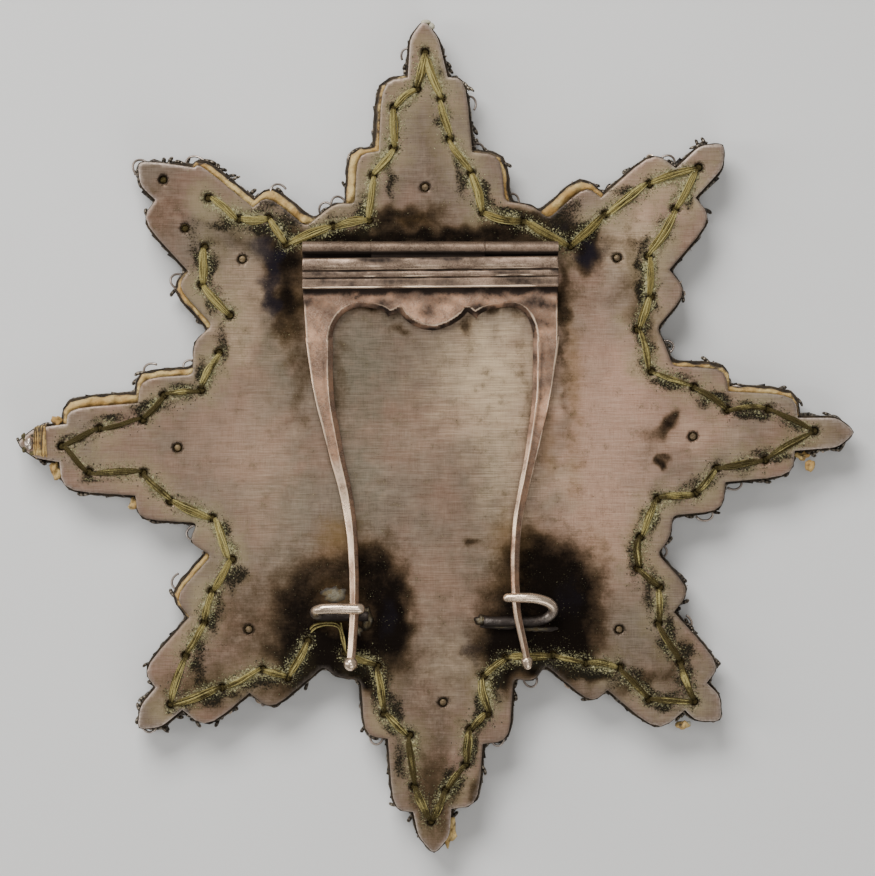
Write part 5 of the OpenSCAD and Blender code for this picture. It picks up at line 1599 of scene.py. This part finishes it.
def crumbStuff(name, pale, dark):
    # Dull powder, dark where tint is 0 and pale where it is 1, with olive specks
    startMaterial(name, roughness=0.9)
    fine = grain(0.08, 3, 0.7)
    colour = blend(painted("tint"), dark, pale)
    colour = blend(between(fine, 0.5, 0.75, 0, 0.5), colour, tone(70, 66, 40))
    return finishMaterial(colour, height=fine, depth=0.03)


def lumps(rows, seed, rings=9, steps=14, rough=0.3):
    # Uneven ellipsoids: (cos, sin) rings scaled by the half sizes and by 1 + rough * unevenness
    rows = np.asarray(rows, float)
    a = np.radians(np.linspace(-86, 86, rings))[:, None]
    b = fullTurn(steps)[None]
    ball = np.stack([np.cos(a) * np.cos(b), np.cos(a) * np.sin(b), np.sin(a) + 0 * b], -1)
    points = rows[:, None, None, :3] + ball * rows[:, None, None, 3:6]
    wave = unevenness(points, 0.9, seed)[..., None]
    points += ball * (rough * rows[:, 3:6].mean(1))[:, None, None, None] * wave
    return points.reshape(-1, 3), shellFaces(rings, steps, len(rows))


def makeCrumbs():
    # Octahedra of seeded size and turn scattered beside the thread, most within a millimetre of it
    random = np.random.default_rng(43)
    wanted = small["crumbs"]
    line = threadLine[random.integers(0, len(threadLine), wanted * 2)]
    place = line + random.normal(0, 0.7, (wanted * 2, 2))
    keep = (insideLoop(place, plateLoops[0]) & (nearest(place, plateOutline)[0] > 0.2)
            & (nearest(place, holeCentres)[0] > 0.6))
    place = place[keep][:wanted]
    count = len(place)
    size = random.uniform(*small["crumbSize"], (count, 1)) * random.uniform(0.6, 1.2, (count, 3))
    corner = np.array([[1, 0, 0], [0, 1, 0], [-1, 0, 0], [0, -1, 0], [0, 0, 1], [0, 0, -1]], float)
    turn = random.uniform(0, 2 * np.pi, count)
    shape = corner[None] * size[:, None]
    c, s = np.cos(turn)[:, None], np.sin(turn)[:, None]
    x, y = shape[..., 0] * c - shape[..., 1] * s, shape[..., 0] * s + shape[..., 1] * c
    z = plateTop - 0.01 + size[:, 2, None] * 0.5 + shape[..., 2]
    points = np.stack([place[:, 0, None] + x, place[:, 1, None] + y, z], -1).reshape(-1, 3)
    one = np.array([[0, 1, 4], [1, 2, 4], [2, 3, 4], [3, 0, 4], [1, 0, 5], [2, 1, 5], [3, 2, 5], [0, 3, 5]])
    faces = (one[None] + (np.arange(count) * len(corner))[:, None, None]).reshape(-1, 3)
    tint = unit(random.uniform(0, 1, count) * (1.25 - grimeAt(place)) - 0.1) ** 1.3
    powder = crumbStuff("verdigris", tone(182, 178, 132), tone(48, 44, 26))
    buildPiece("verdigrisCrumbs", points, faces, powder, "star",
               {"tint": np.repeat(tint, len(corner))})


pinMaterial = wornSilver("pinBrass", tone(134, 112, 70), tone(92, 76, 46), tone(54, 42, 26), 0.5)


def makeHoleFillings():
    # Shallow domes inside the holes: pin ends in the eight tack holes, thread in the sewing holes
    for name, chosen, share, low, rise, material, slot in (
            ("tackPins", isTack, 0.8, 4.52, 0.12, pinMaterial, "plate_silver"),
            ("holeThread", ~isTack, 0.8, 4.34, 0.08, threadMaterial, "metal_thread")):
        ring = np.array([0.05, 0.4, 0.75, 0.95, 1.0, 1.0])[:, None]
        height = np.array([1.0, 0.9, 0.5, 0.1, -1.0, -4.0])[:, None]
        turn = fullTurn(16)[None]
        centres, radii = holeCentres[chosen], holeRadii[chosen] * share
        x = centres[:, 0, None, None] + radii[:, None, None] * ring * np.cos(turn)
        y = centres[:, 1, None, None] + radii[:, None, None] * ring * np.sin(turn)
        z = low + rise * height + 0 * turn + 0.02 * unevenness(np.stack([x, y], -1), 0.5, 51)
        points = np.stack([x, y, z], -1).reshape(-1, 3)
        faces = shellFaces(6, 16, len(centres))
        values = {"sootAndShade": 0.42 if material is pinMaterial else 0.55 + 0.7 * grimeAt(points), "wearAndHighlight": 0,
                  "tint": 0}
        values = {key: value + np.zeros(len(points)) for key, value in values.items()}
        buildPiece(name, points, faces, material, "star", values)


def makeLooseEnds():
    # A stitch that has come loose beside the left hook: smooth curves through a few points
    paths = np.array([smoothRows(rows, 8) for rows in small["looseEnds"]])
    paths = np.concatenate([paths, paths + (0.09, -0.06, 0.05)])
    points, faces = tubes(paths, np.full(paths.shape[:2], 0.075), 6, (0, 0, 1))
    count = len(paths)
    values = {"tint": perRing(np.linspace(0, 1, count)[:, None], count, paths.shape[1], 6),
              "sootAndShade": np.full(len(points), 0.35)}
    buildPiece("looseThread", points, faces, threadMaterial, "star", values)


def makeShreds():
    # Lumps at the tips: leather, pale and dark paste, and the worn nub of metal
    points, faces = lumps(small["shreds"], 61)
    buildPiece("leatherShreds", points, faces, leatherMaterial, "star",
               {"sootAndShade": 0.2 + 0.3 * unevenness(points, 1.0, 62)})
    points, faces = lumps(small["paleLumps"], 63)
    paste = crumbStuff("palePaste", tone(206, 200, 176), tone(150, 140, 110))
    buildPiece("paleLumps", points, faces, paste, "star",
               {"tint": np.full(len(points), 0.8)})
    points, faces = lumps(small["darkLumps"], 65)
    buildPiece("tipGrime", points, faces, crumbStuff("olivePaste", tone(112, 100, 62), tone(44, 38, 22)),
               "star", {"tint": 0.4 + 0.5 * unevenness(points, 0.6, 66)})
    points, faces = lumps([(-44.55, -0.3, 4.86, 0.52, 0.66, 0.34)], 64, 18, 28, 0.08)
    buildPiece("tipNub", points, faces, hookMaterial, "star",
               {"sootAndShade": np.zeros(len(points)), "wearAndHighlight": np.full(len(points), 0.4)})


def makeLashing():
    # Turns of thread round the left point: closed rings y = half * cos, z squared off, one beside the next
    size = small["lashing"]
    random = np.random.default_rng(53)
    count, stations = size["turns"], 40
    turn = np.linspace(0, 2 * np.pi, stations)
    c, s = np.cos(turn), np.sin(turn)
    x = (np.linspace(size["from"], size["to"], count)[:, None] + random.normal(0, 0.08, (count, 1))
         + 0.14 * np.sin(turn + random.uniform(0, 6, (count, 1))))
    half = (size["halfY"] * (0.86 + 0.14 * (np.arange(count) / count))[:, None]
            + random.normal(0, 0.05, (count, 1)))
    y = size["middleY"] + half * np.sign(c) * np.abs(c) ** 0.6
    z = ((size["low"] + size["high"]) / 2 + (size["high"] - size["low"]) / 2 * np.sign(s) * np.abs(s) ** 0.5
         + random.normal(0, 0.04, (count, 1)))
    points, faces = tubes(np.stack([x + 0 * y, y, z + 0 * y], -1),
                          np.full((count, stations), size["radius"]), 6, (1, 0, 0))
    sootAndShade = perRing(random.uniform(0.25, 0.8, (count, 1)) + 0.2 * np.sin(turn * 2), count, stations, 6)
    buildPiece("tipLashing", points, faces, leatherMaterial, "star", {"sootAndShade": sootAndShade})


makeCrumbs()
makeHoleFillings()
makeLooseEnds()
makeShreds()
makeLashing()
print("crumbs, hole fillings, loose thread, lashing")
